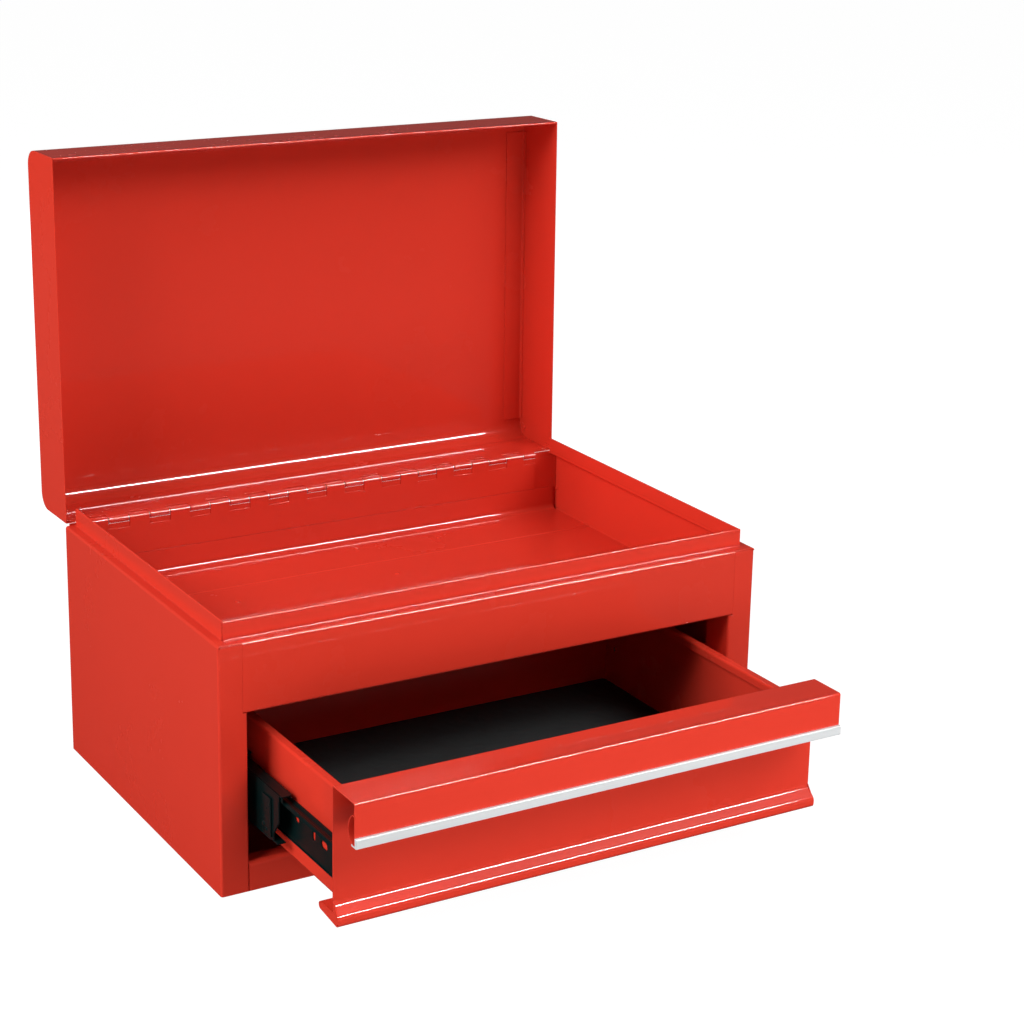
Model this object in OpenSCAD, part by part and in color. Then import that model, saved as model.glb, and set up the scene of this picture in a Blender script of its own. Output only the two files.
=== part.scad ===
// Top till tool box: a folded sheet-steel cabinet with an open till, a piano-hinged lid and one
// drawer on telescopic ball slides. Millimetres. X is to the right, Y to the back, Z up, and the
// origin is the middle of the cabinet's underside. Shown with the lid up and the drawer part out.

/* [Cabinet] */
// Width over the side panels
body_w = 520; // [460:1:620]
// Depth from the front face to the back face
body_d = 336; // [316:1:400]
// Height of the rim that the lid closes over
body_h = 217; // [206:1:250]
// Thickness of the cabinet, lid and drawer sheet
sheet = 1; // [0.8:0.1:1.2]
// Inside radius of an ordinary bend
bend_r = 1.2; // [0.8:0.1:1.6]
// Width of the front stile beside the drawer opening
stile_w = 25; // [23:0.5:32]
// Distance from the opening's edge to the seam between the stile and the front wall
seam_offset = 4; // [2.5:0.5:8]
// Depth of the flange that the stile turns into the opening
stile_return = 33; // [15:1:34]
// Height of the bottom front rail
rail_h = 26; // [20:1:30]
// Outside radius of the rail's rounded top bend
rail_r = 4; // [3:0.5:6]
// Depth of the rail's top shelf
rail_shelf = 16; // [12:1:20]
// Height of the front wall between the drawer opening and the rim
front_h = 60.5; // [56:0.5:80]

/* [Rim] */
// Width of the ledge on each side
side_ledge = 9; // [7:0.5:12]
// Width of the ledge along the front
front_ledge = 10; // [8:0.5:12]
// Height of the upstand above the ledge
upstand_h = 16; // [14:0.5:24]
// Depth of the hem folded inside the upstand
upstand_hem = 12; // [6:0.5:13]
// Slit between the front and side upstands
upstand_slit = 0.6; // [0.3:0.1:1.5]
// Distance from the side upstand's end to the back face
upstand_setback = 8; // [6:0.5:14]

/* [Till] */
// Clearance between the till tray and each side panel
till_gap = 1; // [0.5:0.1:2]
// Inside radius of the tray's rear bend
till_rear_r = 5; // [2:0.5:8]
// Height of the tray's front turn-up
till_turnup = 14; // [8:1:20]
// Distance from the front face to the middle of the front cross member
support_front_y = 231; // [200:1:250]
// Distance from the back face to the middle of the rear cross member
support_rear_y = 28; // [24:1:40]
// Width of a cross member's top
support_w = 16; // [12:1:24]
// Height of a cross member
support_h = 8; // [5:0.5:8.5]

/* [Hinge] */
// Gap between each end of the hinge and the flange of the lid's end cap
hinge_end_gap = 2.5; // [1:0.5:20]
// Radius of the hinge pin
pin_r = 2.15; // [1.5:0.05:2.2]
// Radial clearance between the pin and the knuckles
pin_clear = 0.05; // [0.03:0.01:0.1]
// Thickness of the hinge leaves
leaf_t = 1; // [0.8:0.1:1]
// Width of the lid leaf from the pin's axis
lid_leaf_w = 36.5; // [20:0.5:40]
// Width of the body leaf from the pin's axis
body_leaf_w = 34.5; // [20:0.5:36]
// Length of one knuckle
knuckle_len = 20; // [15:0.5:30]
// Length of the first knuckle at the left end
first_knuckle = 14.5; // [8:0.5:20]
// Gap between neighbouring knuckles
knuckle_gap = 0.3; // [0.2:0.1:0.6]
// Distance from the pin's axis to the bottom of the notch round a knuckle
notch_reach = 7.8; // [5:0.1:10]
// Height of the pin's axis below the rim
pin_drop = 1; // [0:0.1:2]
// Height of the rear panel's top edge below the rim
rear_drop = 4.8; // [4.6:0.1:8]
// Height of the rear panel above the rim beyond each end of the hinge
rear_end_rise = 2; // [0:0.1:2]

/* [Lid] */
// Height of the lid
lid_h = 62.5; // [50:0.5:90]
// Gap between the ledge and the closed lid's edge
lid_gap = 3.3; // [2.8:0.1:5]
// Distance that each end of the lid stands in from the side panel
lid_side_inset = 2.5; // [0.5:0.1:4]
// Distance that the lid's front stands back from the front face
lid_front_inset = 4; // [0.5:0.5:5]
// Outside radius of the lid's front and rear bends
lid_r = 15; // [6:0.5:20]
// Depth of the hem inside the lid's front edge
lid_hem = 12; // [6:0.5:14]
// Width of the end cap's flange inside the lid
cap_flange = 20; // [10:1:20]
// Angle that the lid stands open
lid_open = 90.8; // [0:0.1:90.8]

/* [Drawer front] */
// Gap between the opening's edge and each end of the drawer front
front_side_gap = 8; // [4:0.5:12]
// Gap between the opening's top and the drawer front
front_top_gap = 9.7; // [6:0.1:12]
// Distance that the closed drawer's skirt stands ahead of the front face
skirt_proud = 3.5; // [2:0.1:8]
// Height of the skirt that hangs in front of the finger recess
skirt_h = 34.8; // [28:0.2:40]
// Height of the rounded return behind the skirt
skirt_return_h = 26; // [18:0.5:28]
// Distance that the rounded return stands behind the skirt
skirt_return_d = 9; // [5:0.5:11]
// Depth of the finger recess behind the skirt's front
recess_d = 36; // [32:0.5:38]
// Distance from the drawer front's lower edge to the rail
foot_gap = 5.5; // [3:0.5:10]
// Outside radius of the skirt's top bend
skirt_r = 2; // [1.6:0.2:4]
// Distance that the foot stands ahead of the panel
foot_proud = 9.5; // [7:0.5:12]
// Depth of the foot from its front to its rear nose
foot_d = 34.5; // [28:0.5:40]
// Height of the trim strip
trim_h = 8.1; // [6:0.1:12]
// Thickness of the trim strip
trim_t = 3; // [1.5:0.1:5]
// Depth of the trim's lip under the skirt
trim_lip = 5.5; // [2:0.5:8]
// Thickness of the trim's lip
trim_lip_t = 1.5; // [1:0.1:2]

/* [Drawer box] */
// Gap between the drawer box's sides and the opening's top
box_top_gap = 24; // [21:0.5:50]
// Height of the drawer box's underside above the cabinet's underside
box_z = 41; // [39:0.5:44]
// Width of the hem along the top of each side
box_hem = 9; // [6:0.5:14]
// Depth of the hem's turned-down lip
hem_lip = 5; // [3:0.5:8]
// Gap between the closed drawer's back and the back face
back_gap = 5; // [4:0.5:20]
// Thickness of the liner mat
mat_t = 1.5; // [1:0.1:3]
// Gap between the mat and the drawer's walls
mat_gap = 1.5; // [1.2:0.1:4]
// Distance that the drawer is drawn out
drawer_out = 168; // [0:1:298]

/* [Slides] */
// Thickness of a slide across its three members
slide_t = 19.5; // [19.5:0.1:20.5]
// Height of the cabinet member
outer_h = 57; // [56:0.5:58]
// Height of the middle member
middle_h = 47; // [46:0.5:47.5]
// Height of the drawer member
inner_h = 37; // [36.5:0.5:38]
// Thickness of the slide's steel
slide_sheet = 1.5; // [1.2:0.1:1.6]
// Height of the slide's middle above the cabinet's underside
slide_z = 77; // [72:0.5:84]
// Distance from the front face to the cabinet member's front end
slide_setback = 35; // [34.6:0.2:40]
// Distance from the slide's rear end to the back face
slide_rear = 8; // [6:0.5:20]
// Distance that the middle member stands back from the cabinet member
middle_setback = 7; // [2:0.5:12]
// Diameter of a ball
ball_d = 2.9; // [2:0.1:2.9]
// Number of balls in a row
ball_count = 7; // [3:1:9]
// Length of a ball cage
cage_len = 130; // [80:1:136]
// Distance from the front face to the cages' front end when closed
cage_setback = 112; // [108:1:116]
// Thickness of a ball cage
cage_t = 1; // [0.6:0.1:1]
// Thickness of the brackets that carry the slides
bracket_t = 2; // [1.5:0.1:3]
// Height of a bracket
bracket_h = 62; // [58:1:70]
// Width of a bracket's face
bracket_w = 22; // [16:1:26]
// Width of a bracket's foot
bracket_foot = 8; // [6:0.5:10]
// Radius of a screw's shank
screw_r = 2; // [1.5:0.1:2.5]
// Radius of a screw's head
screw_head_r = 4; // [3:0.1:5]
// Thickness of a screw's head
screw_head_t = 1.4; // [0.8:0.1:1.5]

/* [Hidden] */
$fn = 64;

// Colours
red = [0.80, 0.13, 0.10];
black = [0.08, 0.08, 0.09];
steel = [0.62, 0.63, 0.65];
alu = [0.90, 0.91, 0.92];

// Gap left between two pieces of one body that lie side by side
seat = 0.1;
// Outside radius of an ordinary bend
out_r = bend_r + sheet;

// Cabinet
half_w = body_w / 2;
front_y = -body_d / 2;
back_y = body_d / 2;
open_x = half_w - stile_w;
seam_x = open_x + seam_offset;
open_top = body_h - front_h;
rim_x = half_w - side_ledge;
rim_y = front_y + front_ledge;
upstand_front_end = rim_x - seat;
upstand_start = rim_y + 2 * sheet + upstand_slit;
flange_d = 15;
corner_cut = 4;

// Till
tray_z = open_top + sheet;
tray_x = half_w - sheet - till_gap;
tray_top = body_h - sheet - 3 * seat;

// Hinge
knuckle_in = pin_r + pin_clear;
knuckle_r = knuckle_in + leaf_t;
pin_y = back_y - sheet - leaf_t + knuckle_r;
pin_z = body_h - pin_drop;
hinge_len = 2 * (half_w - lid_side_inset - sheet - cap_flange - hinge_end_gap);
knuckles = ceil((hinge_len - first_knuckle) / knuckle_len) + 1;

// Lid, closed
lid_x = half_w - lid_side_inset;
lid_y = front_y + lid_front_inset;
lid_z = body_h + lid_gap;
lid_top = lid_z + lid_h;

// Drawer, closed
front_x = open_x - front_side_gap;
front_top = open_top - front_top_gap;
skirt_y = front_y - skirt_proud;
skirt_z = front_top - skirt_h;
panel_y = skirt_y + recess_d;
panel_back = panel_y + sheet;
foot_z = rail_h + foot_gap;
box_x = open_x - bracket_t - slide_t;
box_top = open_top - box_top_gap;
box_back = back_y - back_gap;

// Slides
carrier_x = open_x - bracket_t;
outer_front = front_y + slide_setback;
slide_end = back_y - slide_rear;
inner_front = panel_back + seat;
middle_front = outer_front + middle_setback;
slide_r = 0.8;
outer_w = slide_t - 2.5;
cage_web = 3.4;
middle_web = 5.5;
middle_w = 10;
inner_w = 10.5;
inner_cage_web = 7.6;
cage_w = 10;
cage_front = front_y + cage_setback;
outer_gap = (outer_h / 2 - slide_sheet + middle_h / 2) / 2;
inner_gap = (middle_h / 2 - slide_sheet + inner_h / 2) / 2;
outer_ball_u = middle_web + 5.5;
inner_ball_u = middle_web + 7;
bracket_front_y = outer_front + bracket_w / 2;
bracket_rear_y = back_y - flange_d - sheet - bracket_foot - bracket_w / 2 - 6;

// ---- Placing and folding ---------------------------------------------------------------------

// Stands a drawing in X and Z along Y.
module along_y(from, to) {
    translate([0, to, 0]) rotate([90, 0, 0]) linear_extrude(to - from) children();
}

// Stands a drawing in Y and Z along X.
module along_x(from, to) {
    translate([from, 0, 0]) rotate([90, 0, 90]) linear_extrude(to - from) children();
}

// Stands a drawing in X and Y along Z.
module along_z(from, to) {
    translate([0, 0, from]) linear_extrude(to - from) children();
}

// A block between two corners.
module block(low, high) {
    translate(low) cube(high - low);
}

// The left-hand piece as drawn, or its mirror image on the right.
module on_side(side) {
    if (side < 0) children();
    else mirror([1, 0, 0]) children();
}

// Part of a ring, from one angle to another.
module ring_part(r_in, r_out, from, to) {
    steps = 4;
    intersection() {
        difference() {
            circle(r_out);
            if (r_in > 0) circle(r_in);
        }
        polygon(concat([[0, 0]],
            [for (k = [0 : steps])
                let (a = from + (to - from) * k / steps) 2 * r_out * [cos(a), sin(a)]]));
    }
}

// The section of a folded sheet: [run, turn, inside radius] for each stretch. It starts at the
// origin along +X with the sheet on the right, and a positive turn is to the right.
module folded(path, t, i = 0) {
    if (i < len(path)) {
        run = path[i][0];
        turn = path[i][1];
        r = path[i][2];
        centre = turn > 0 ? -(r + t) : r;
        if (run > 0) translate([0, -t]) square([run, t]);
        if (turn > 0) translate([run, centre]) ring_part(r, r + t, 90 - turn, 90);
        if (turn < 0) translate([run, centre]) ring_part(r, r + t, -90, -90 - turn);
        translate([run, centre]) rotate(-turn) translate([0, -centre]) folded(path, t, i + 1);
    }
}

// Points along one side of a bent sheet, at a distance to the right of its path. The path is
// given as in folded(), and each bend is a run of short chords.
function sheet_side(path, t, off, at = [0, 0], heading = 0, i = 0) =
    i == len(path) ? [] :
    let (turn = path[i][1],
        right = [sin(heading), -cos(heading)],
        end = at + path[i][0] * [cos(heading), sin(heading)],
        arm = turn > 0 ? path[i][2] + t : -path[i][2],
        centre = end + arm * right,
        chords = ceil(abs(turn) / 7.5),
        bend = [for (k = [1 : 1 : chords - 1])
            let (a = heading - turn * k / chords) centre + (off - arm) * [sin(a), -cos(a)]],
        next = heading - turn)
    concat([at + off * right, end + off * right], bend,
        sheet_side(path, t, off, centre - arm * [sin(next), -cos(next)], next, i + 1));

// The section of a sheet whose bends turn by any angle.
module bent(path, t) {
    far = sheet_side(path, t, t);
    polygon(concat(sheet_side(path, t, 0), [for (k = [len(far) - 1 : -1 : 0]) far[k]]));
}

// ---- Cabinet ---------------------------------------------------------------------------------

// Wall, stile and the flange turned into the opening, seen from above, for the left side.
module side_plan() {
    translate([-open_x, front_y + stile_return]) rotate(-90)
        folded([[stile_return - out_r, 90, bend_r], [stile_w - 2 * out_r, 90, bend_r],
            [body_d - out_r, 0, 0]], sheet);
}

// Wall and a flat stile that ends at the given distance from the middle.
module flat_plan(edge) {
    translate([-edge, front_y]) rotate(180)
        folded([[half_w - out_r - edge, 90, bend_r], [body_d - out_r, 0, 0]], sheet);
}

// Wall top and ledge, with or without the hemmed upstand, for the left side.
module side_rim(with_upstand) {
    ledge = side_ledge - out_r - (with_upstand ? bend_r : 0);
    up = upstand_h - bend_r - sheet;
    translate([-half_w, body_h - 2 * out_r]) rotate(90)
        folded(concat([[out_r, 90, bend_r]],
            with_upstand
                ? [[ledge, -90, bend_r], [up, 180, 0], [upstand_hem - sheet, 0, 0]]
                : [[ledge, 0, 0]]), sheet);
}

// One side of the cabinet: wall, front stile with its return, ledge and hemmed upstand.
module side_panel(side) {
    color(red) on_side(side) {
        along_z(0, sheet) flat_plan(open_x);
        along_z(sheet, open_top) side_plan();
        along_z(open_top, body_h - out_r) flat_plan(seam_x + seat);
        block([-half_w + out_r, front_y, body_h - out_r],
            [-seam_x - seat, front_y + sheet, body_h - sheet]);
        along_y(front_y, back_y) side_rim(false);
        along_y(upstand_start, back_y - upstand_setback) side_rim(true);
    }
}

module left_side_panel() {
    side_panel(-1);
}

module right_side_panel() {
    side_panel(1);
}

// Rear panel between the sides. It rises beyond each end of the hinge, and a flange is turned
// forward along each side below the till.
module rear_panel() {
    inner_x = half_w - sheet;
    color(red) {
        block([-inner_x, back_y - sheet, sheet], [inner_x, back_y, body_h - rear_drop]);
        for (side = [-1, 1]) on_side(side) {
            block([-rim_x + seat, back_y - sheet, body_h - rear_drop - sheet],
                [-hinge_len / 2 - knuckle_gap, back_y, body_h + rear_end_rise]);
            block([-inner_x, back_y - flange_d - sheet, 2 * sheet],
                [-inner_x + sheet, back_y - sheet, tray_z - support_h - seat]);
        }
    }
}

// Posts that clip a flat piece's two front corners, clear of the side panels' front bends.
module corner_posts(x, y, from, to) {
    along_z(from, to) for (sx = [-1, 1])
        translate([sx * x, y]) rotate(45) square(corner_cut, center = true);
}

// Flat bottom with a turned-up edge behind the rail and along each side.
module bottom_pan() {
    x = half_w - sheet;
    up_h = 14;
    color(red) {
        difference() {
            block([-x, front_y + sheet, 0], [x, back_y, sheet]);
            corner_posts(x, front_y + sheet, -1, sheet + 1);
        }
        block([-open_x + sheet, front_y + sheet, sheet],
            [open_x - sheet, front_y + 2 * sheet, up_h]);
        for (side = [-1, 1]) on_side(side)
            block([-x, outer_front, sheet], [-x + sheet, back_y - flange_d - 3 * sheet, up_h]);
    }
}

// Bottom rail: face, rounded top bend, shelf and turned-down rear edge.
module bottom_front_rail() {
    color(red) along_x(-open_x, open_x)
        translate([front_y, 0]) rotate(90)
            folded([[rail_h - rail_r, 90, rail_r - sheet],
                [rail_shelf - rail_r - out_r, 90, bend_r], [8, 0, 0]], sheet);
}

// Front wall of the till, with the front ledge and its hemmed upstand.
module till_front() {
    ledge = front_ledge - out_r - bend_r;
    up = upstand_h - bend_r - sheet;
    flange = 14;
    color(red) {
        along_x(-seam_x, seam_x)
            translate([front_y + flange, open_top]) rotate(180)
                folded([[flange - out_r, 90, bend_r],
                    [body_h - open_top - 2 * out_r, 90, bend_r],
                    [ledge, -90, bend_r], [up, 180, 0], [upstand_hem - sheet, 0, 0]], sheet);
        for (side = [-1, 1]) on_side(side)
            along_x(-upstand_front_end, -seam_x)
                translate([front_y, body_h])
                    folded([[ledge + out_r, -90, bend_r], [up, 180, 0],
                        [upstand_hem - sheet, 0, 0]], sheet);
    }
}

// Till tray: floor, front turn-up, side walls and a rear wall that rises to the hinge leaf.
module till_tray() {
    rear_top = pin_z - body_leaf_w - 2 * seat;
    rear_out = till_rear_r + sheet;
    y_back = back_y - sheet;
    y_front = front_y + sheet;
    color(red) {
        difference() {
            along_x(-tray_x, tray_x)
                translate([y_back, rear_top]) rotate(-90)
                    folded([[rear_top - tray_z - rear_out, 90, till_rear_r],
                        [y_back - y_front - rear_out - out_r, 90, bend_r],
                        [till_turnup - out_r, 0, 0]], sheet);
            corner_posts(half_w - sheet, y_front, tray_z - 1, tray_z + till_turnup + 1);
        }
        for (side = [-1, 1]) on_side(side)
            block([-tray_x, y_front + corner_cut, tray_z + sheet / 2],
                [-tray_x + sheet, y_back - rear_out, tray_top]);
    }
}

// Top-hat section that stiffens the till's floor, from side to side.
module till_support(y) {
    x = half_w - sheet - seat;
    foot = 7;
    color(red) along_x(-x, x)
        translate([y - support_w / 2 - foot, tray_z - support_h + sheet])
            folded([[foot - bend_r, -90, bend_r], [support_h - 2 * bend_r - 2 * sheet, 90, bend_r],
                [support_w - 2 * out_r, 90, bend_r], [support_h - 2 * bend_r - 2 * sheet, -90, bend_r],
                [foot - bend_r, 0, 0]], sheet);
}

module till_support_front() {
    till_support(front_y + support_front_y);
}

module till_support_rear() {
    till_support(back_y - support_rear_y);
}

// ---- Hinge -----------------------------------------------------------------------------------

// The place along X where knuckle k starts.
function knuckle_x(k) =
    -hinge_len / 2 + (k == 0 ? 0 : min(first_knuckle + (k - 1) * knuckle_len, hinge_len));

// A leaf and its own knuckles, with notches round the other leaf's. The drawing is the lid's
// leaf, which rises from the pin, and the body's is the same one upside down.
module leaf(width, own) {
    along_x(-hinge_len / 2, hinge_len / 2)
        translate([-knuckle_r, notch_reach]) square([leaf_t, width - notch_reach]);
    for (k = [own : 2 : knuckles - 1])
        along_x(knuckle_x(k) + knuckle_gap / 2, knuckle_x(k + 1) - knuckle_gap / 2)
            difference() {
                union() {
                    circle(knuckle_r);
                    translate([-knuckle_r, 0]) square([leaf_t, notch_reach]);
                }
                circle(knuckle_in);
            }
}

// Body leaf, welded inside the rear panel.
module hinge_body_leaf() {
    color(red) translate([0, pin_y, pin_z]) mirror([0, 0, 1]) leaf(body_leaf_w, 0);
}

// Lid leaf, welded inside the lid's rear wall.
module hinge_lid_leaf() {
    color(red) lid_pose() translate([0, pin_y, pin_z]) leaf(lid_leaf_w, 1);
}

module hinge_pin() {
    color(steel) translate([0, pin_y, pin_z]) rotate([0, 90, 0])
        cylinder(r = pin_r, h = hinge_len, center = true);
}

// ---- Lid -------------------------------------------------------------------------------------

// Swings a piece drawn with the lid shut to the angle that the lid stands at.
module lid_pose() {
    translate([0, pin_y, pin_z]) rotate([-lid_open, 0, 0]) translate([0, -pin_y, -pin_z])
        children();
}

// The lid's outline seen from the side, drawn in by the given distance.
module lid_outline(inset) {
    r = lid_r - inset;
    y0 = lid_y + inset;
    y1 = back_y - inset;
    z1 = lid_top - inset;
    union() {
        translate([y0, lid_z]) square([y1 - y0, z1 - r - lid_z]);
        translate([y0 + r, lid_z]) square([y1 - y0 - 2 * r, z1 - lid_z]);
        for (y = [y0 + r, y1 - r]) translate([y, z1 - r]) circle(r);
    }
}

// Front, top and rear of the lid in one sheet, with a hem inside the front edge.
module lid_shell() {
    x = lid_x - sheet;
    color(red) lid_pose() {
        along_x(-x, x) translate([lid_y, lid_z]) rotate(90)
            folded([[lid_h - lid_r, 90, lid_r - sheet],
                [back_y - lid_y - 2 * lid_r, 90, lid_r - sheet], [lid_h - lid_r, 0, 0]], sheet);
        block([-x, lid_y + sheet, lid_z], [x, lid_y + 2 * sheet, lid_z + lid_hem]);
    }
}

// End of the lid, with a flange that lies inside the shell above the front hem.
module lid_end_cap(side) {
    x = lid_x - sheet;
    color(red) lid_pose() on_side(side) {
        along_x(-lid_x, -x) lid_outline(0);
        along_x(-x, -x + cap_flange) difference() {
            lid_outline(sheet);
            lid_outline(2 * sheet);
            translate([lid_y, lid_z - 1]) square([back_y - lid_y, lid_hem + 2]);
        }
    }
}

module lid_end_cap_left() {
    lid_end_cap(-1);
}

module lid_end_cap_right() {
    lid_end_cap(1);
}

// ---- Drawer ----------------------------------------------------------------------------------

// Moves a piece drawn with the drawer shut by its share of the distance drawn out.
module drawn_out(share) {
    translate([0, -share * drawer_out, 0]) children();
}

// Section of the drawer front: skirt, top of the finger recess, panel, and the foot that turns
// out, down and back, and ends in a tongue under the drawer box.
module front_section() {
    slope = 48;
    shoulder_r = 6;
    lip_r = 4;
    foot_r = 3.2;
    rise = 6;
    // Forward reach of the two opposite bends, and the straight run that makes up the rest.
    bends = (shoulder_r + sheet + lip_r) * (1 - cos(slope));
    run = (foot_proud - bends) / sin(slope);
    drop = (shoulder_r + sheet + lip_r) * sin(slope) + run * cos(slope);
    lip_z = foot_z + sheet + foot_r + 2;
    // The rear nose is a bend that brings the sheet up against the drawer box.
    reach = foot_d - 2 * sheet - foot_r * (1 + sin(rise));
    height = box_z - foot_z - 2 * sheet - foot_r * (1 - cos(rise));
    nose_r = (height - reach * tan(rise)) / (1 + cos(rise) - tan(rise) * (1 - sin(rise)));
    under = (reach - nose_r * (1 - sin(rise))) / cos(rise);
    translate([skirt_y, skirt_z]) rotate(90)
        bent([[skirt_h - skirt_r, 90, skirt_r - sheet],
            [recess_d + sheet - skirt_r - out_r, 90, bend_r],
            [front_top - out_r - lip_z - drop, slope, shoulder_r],
            [run, -slope, lip_r],
            [2, -90 - rise, foot_r],
            [under, rise - 180, nose_r],
            [foot_d - foot_proud - nose_r - 2 * sheet, 0, 0]], sheet);
}

// Teardrop return behind the skirt: it leans back from the lower edge and curls to the skirt.
module skirt_return() {
    curl_r = 3;
    y = skirt_return_d - curl_r - sheet;
    z = skirt_return_h - curl_r - 1.5 * sheet;
    far = sqrt(y * y + z * z);
    lean = atan2(y, z) + asin(curl_r / far);
    translate([skirt_y + sheet / 2, skirt_z + sheet / 2]) rotate(90 - lean)
        bent([[sqrt(far * far - curl_r * curl_r), -90 - lean, curl_r], [y, 0, 0]], sheet);
}

// Plate that closes each end of the foot; its corners lie in the middle of the sheet's thickness.
module foot_end() {
    mid = sheet / 2;
    front = panel_y - foot_proud;
    polygon([[panel_y + mid, foot_z + 20], [front + mid, foot_z + 7.5], [front + mid, foot_z + 4],
        [front + 4, foot_z + mid], [front + foot_d - 4, foot_z + 3.4],
        [front + foot_d - 3.5, box_z - mid], [panel_y + mid, box_z - mid]]);
}

// Drawer front in one sheet, with its foot closed at both ends.
module drawer_front() {
    color(red) drawn_out(1) {
        along_x(-front_x, front_x) {
            front_section();
            skirt_return();
        }
        for (side = [-1, 1]) on_side(side)
            along_x(-front_x, -front_x + sheet) foot_end();
    }
}

// Bright trim strip along the skirt's lower edge, with a lip beneath it.
module drawer_trim() {
    r = 0.8;
    z0 = skirt_z - seat - trim_lip_t;
    y0 = skirt_y - trim_t;
    color(alu) drawn_out(1) along_x(-front_x, front_x) {
        translate([y0, z0 + r]) square([trim_t, trim_h - 2 * r]);
        translate([y0 + r, z0]) square([trim_t - r, trim_h]);
        for (z = [z0 + r, z0 + trim_h - r]) translate([y0 + r, z]) circle(r);
        translate([y0 + r, z0]) square([trim_t - r + trim_lip, trim_lip_t]);
    }
}

// Section of the drawer's floor and sides, each side topped by a lipped hem.
module tray_section() {
    wall = box_top - box_z - 2 * out_r;
    hem = box_hem - 2 * out_r;
    floor_run = 2 * box_x - 2 * out_r;
    translate([box_x - box_hem, box_top - out_r - hem_lip]) rotate(90)
        folded([[hem_lip, 90, bend_r], [hem, 90, bend_r], [wall, 90, bend_r],
            [floor_run, 90, bend_r], [wall, 90, bend_r], [hem, 90, bend_r],
            [hem_lip, 0, 0]], sheet);
}

// Drawer bottom and sides in one sheet, with screw holes and weld flanges along the front.
module drawer_tray() {
    floor_flange = 15;
    color(red) drawn_out(1) difference() {
        union() {
            along_y(panel_back, box_back) tray_section();
            block([-box_x + out_r, panel_back, box_z],
                [box_x - out_r, panel_back + sheet, box_z + floor_flange]);
            for (side = [-1, 1]) on_side(side)
                block([-box_x + sheet / 2, panel_back, box_z + out_r],
                    [-box_x + flange_d, panel_back + sheet, box_top - out_r - hem_lip - 1]);
        }
        inner_screw_holes();
    }
}

// Drawer back between the sides, with a top flange turned into the drawer.
module drawer_back() {
    x = box_x - sheet - seat;
    x_mid = box_x - box_hem - seat;
    color(red) drawn_out(1) {
        block([-x, box_back - sheet, box_z + sheet + bend_r],
            [x, box_back, box_top - out_r - hem_lip - seat]);
        block([-x + bend_r, box_back - sheet, box_z + sheet],
            [x - bend_r, box_back, box_z + 2 * sheet + bend_r]);
        along_x(-x_mid, x_mid)
            translate([box_back - box_hem, box_top])
                folded([[box_hem - out_r, 90, bend_r], [hem_lip + 3 * sheet, 0, 0]], sheet);
    }
}

// Liner mat on the drawer's floor.
module drawer_mat() {
    x = box_x - sheet - mat_gap;
    color(black) drawn_out(1)
        block([-x, panel_back + sheet + seat, box_z + sheet],
            [x, box_back - sheet - seat, box_z + sheet + mat_t]);
}

// ---- Slides ----------------------------------------------------------------------------------
// Each slide is drawn for the left side. Across it, u runs from the bracket to the drawer.

module slide_pose(side, from, to) {
    on_side(side) along_y(from, to) translate([-carrier_x, slide_z]) children();
}

// Channel section, open towards the drawer, with its web at u.
module channel(u, w, h, t) {
    r = min(slide_r, t);
    run = w - r - t;
    translate([u + w, -h / 2]) rotate(180)
        folded([[run, 90, r], [h - 2 * (r + t), 90, r], [run, 0, 0]], t);
}

// Places along the front and rear of a slide where a screw goes.
function screw_ys() = [bracket_front_y, bracket_rear_y];

// Round holes or rods across the left slide, from one u to another.
module across(u0, u1, y, r) {
    translate([-carrier_x + u0, y, slide_z]) rotate([0, 90, 0]) cylinder(r = r, h = u1 - u0);
}

// Hat-shaped brackets that stand the slide off the side panel.
module slide_brackets(side) {
    wall_x = half_w - sheet;
    color(red) on_side(side) difference() {
        along_z(slide_z - bracket_h / 2, slide_z + bracket_h / 2)
            for (y = screw_ys()) translate([0, y]) {
                translate([-open_x, -bracket_w / 2]) square([bracket_t, bracket_w]);
                for (s = [-1, 1])
                    translate([-wall_x, s * (bracket_w - bracket_t) / 2 - bracket_t / 2])
                        square([wall_x - open_x + bracket_t / 2, bracket_t]);
                translate([-wall_x, bracket_w / 2 - bracket_t])
                    square([bracket_t, bracket_foot + bracket_t]);
            }
        for (y = screw_ys()) across(-bracket_t - 1, 1, y, screw_r + pin_clear);
    }
}

module slide_brackets_left() {
    slide_brackets(-1);
}

module slide_brackets_right() {
    slide_brackets(1);
}

// Cabinet member of a slide.
module slide_outer(side) {
    color(black) difference() {
        slide_pose(side, outer_front, slide_end) channel(0, outer_w, outer_h, slide_sheet);
        on_side(side) for (y = screw_ys())
            across(-1, slide_sheet + 1, y, screw_r + pin_clear);
    }
}

module slide_outer_left() {
    slide_outer(-1);
}

module slide_outer_right() {
    slide_outer(1);
}

// Screws that hold the cabinet members to the brackets.
module cabinet_slide_screws() {
    color(steel) for (side = [-1, 1]) on_side(side) for (y = screw_ys()) {
        across(-bracket_t - 2, slide_sheet + screw_head_t / 2, y, screw_r);
        across(slide_sheet, slide_sheet + screw_head_t, y, screw_head_r);
    }
}

// Middle member, its lower front corner cut back.
module slide_middle(side) {
    cut_r = 14;
    low = slide_z - middle_h / 2;
    color(black) drawn_out(0.5) difference() {
        slide_pose(side, middle_front, slide_end) channel(middle_web, middle_w, middle_h, slide_sheet);
        on_side(side)
            along_x(-carrier_x + middle_web - 1, -carrier_x + middle_web + middle_w + 1)
                difference() {
                    translate([middle_front - 1, low - 1]) square([cut_r + 1, cut_r + 1]);
                    translate([middle_front + cut_r, low + cut_r]) circle(cut_r);
                }
    }
}

module slide_middle_left() {
    slide_middle(-1);
}

module slide_middle_right() {
    slide_middle(1);
}

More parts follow.
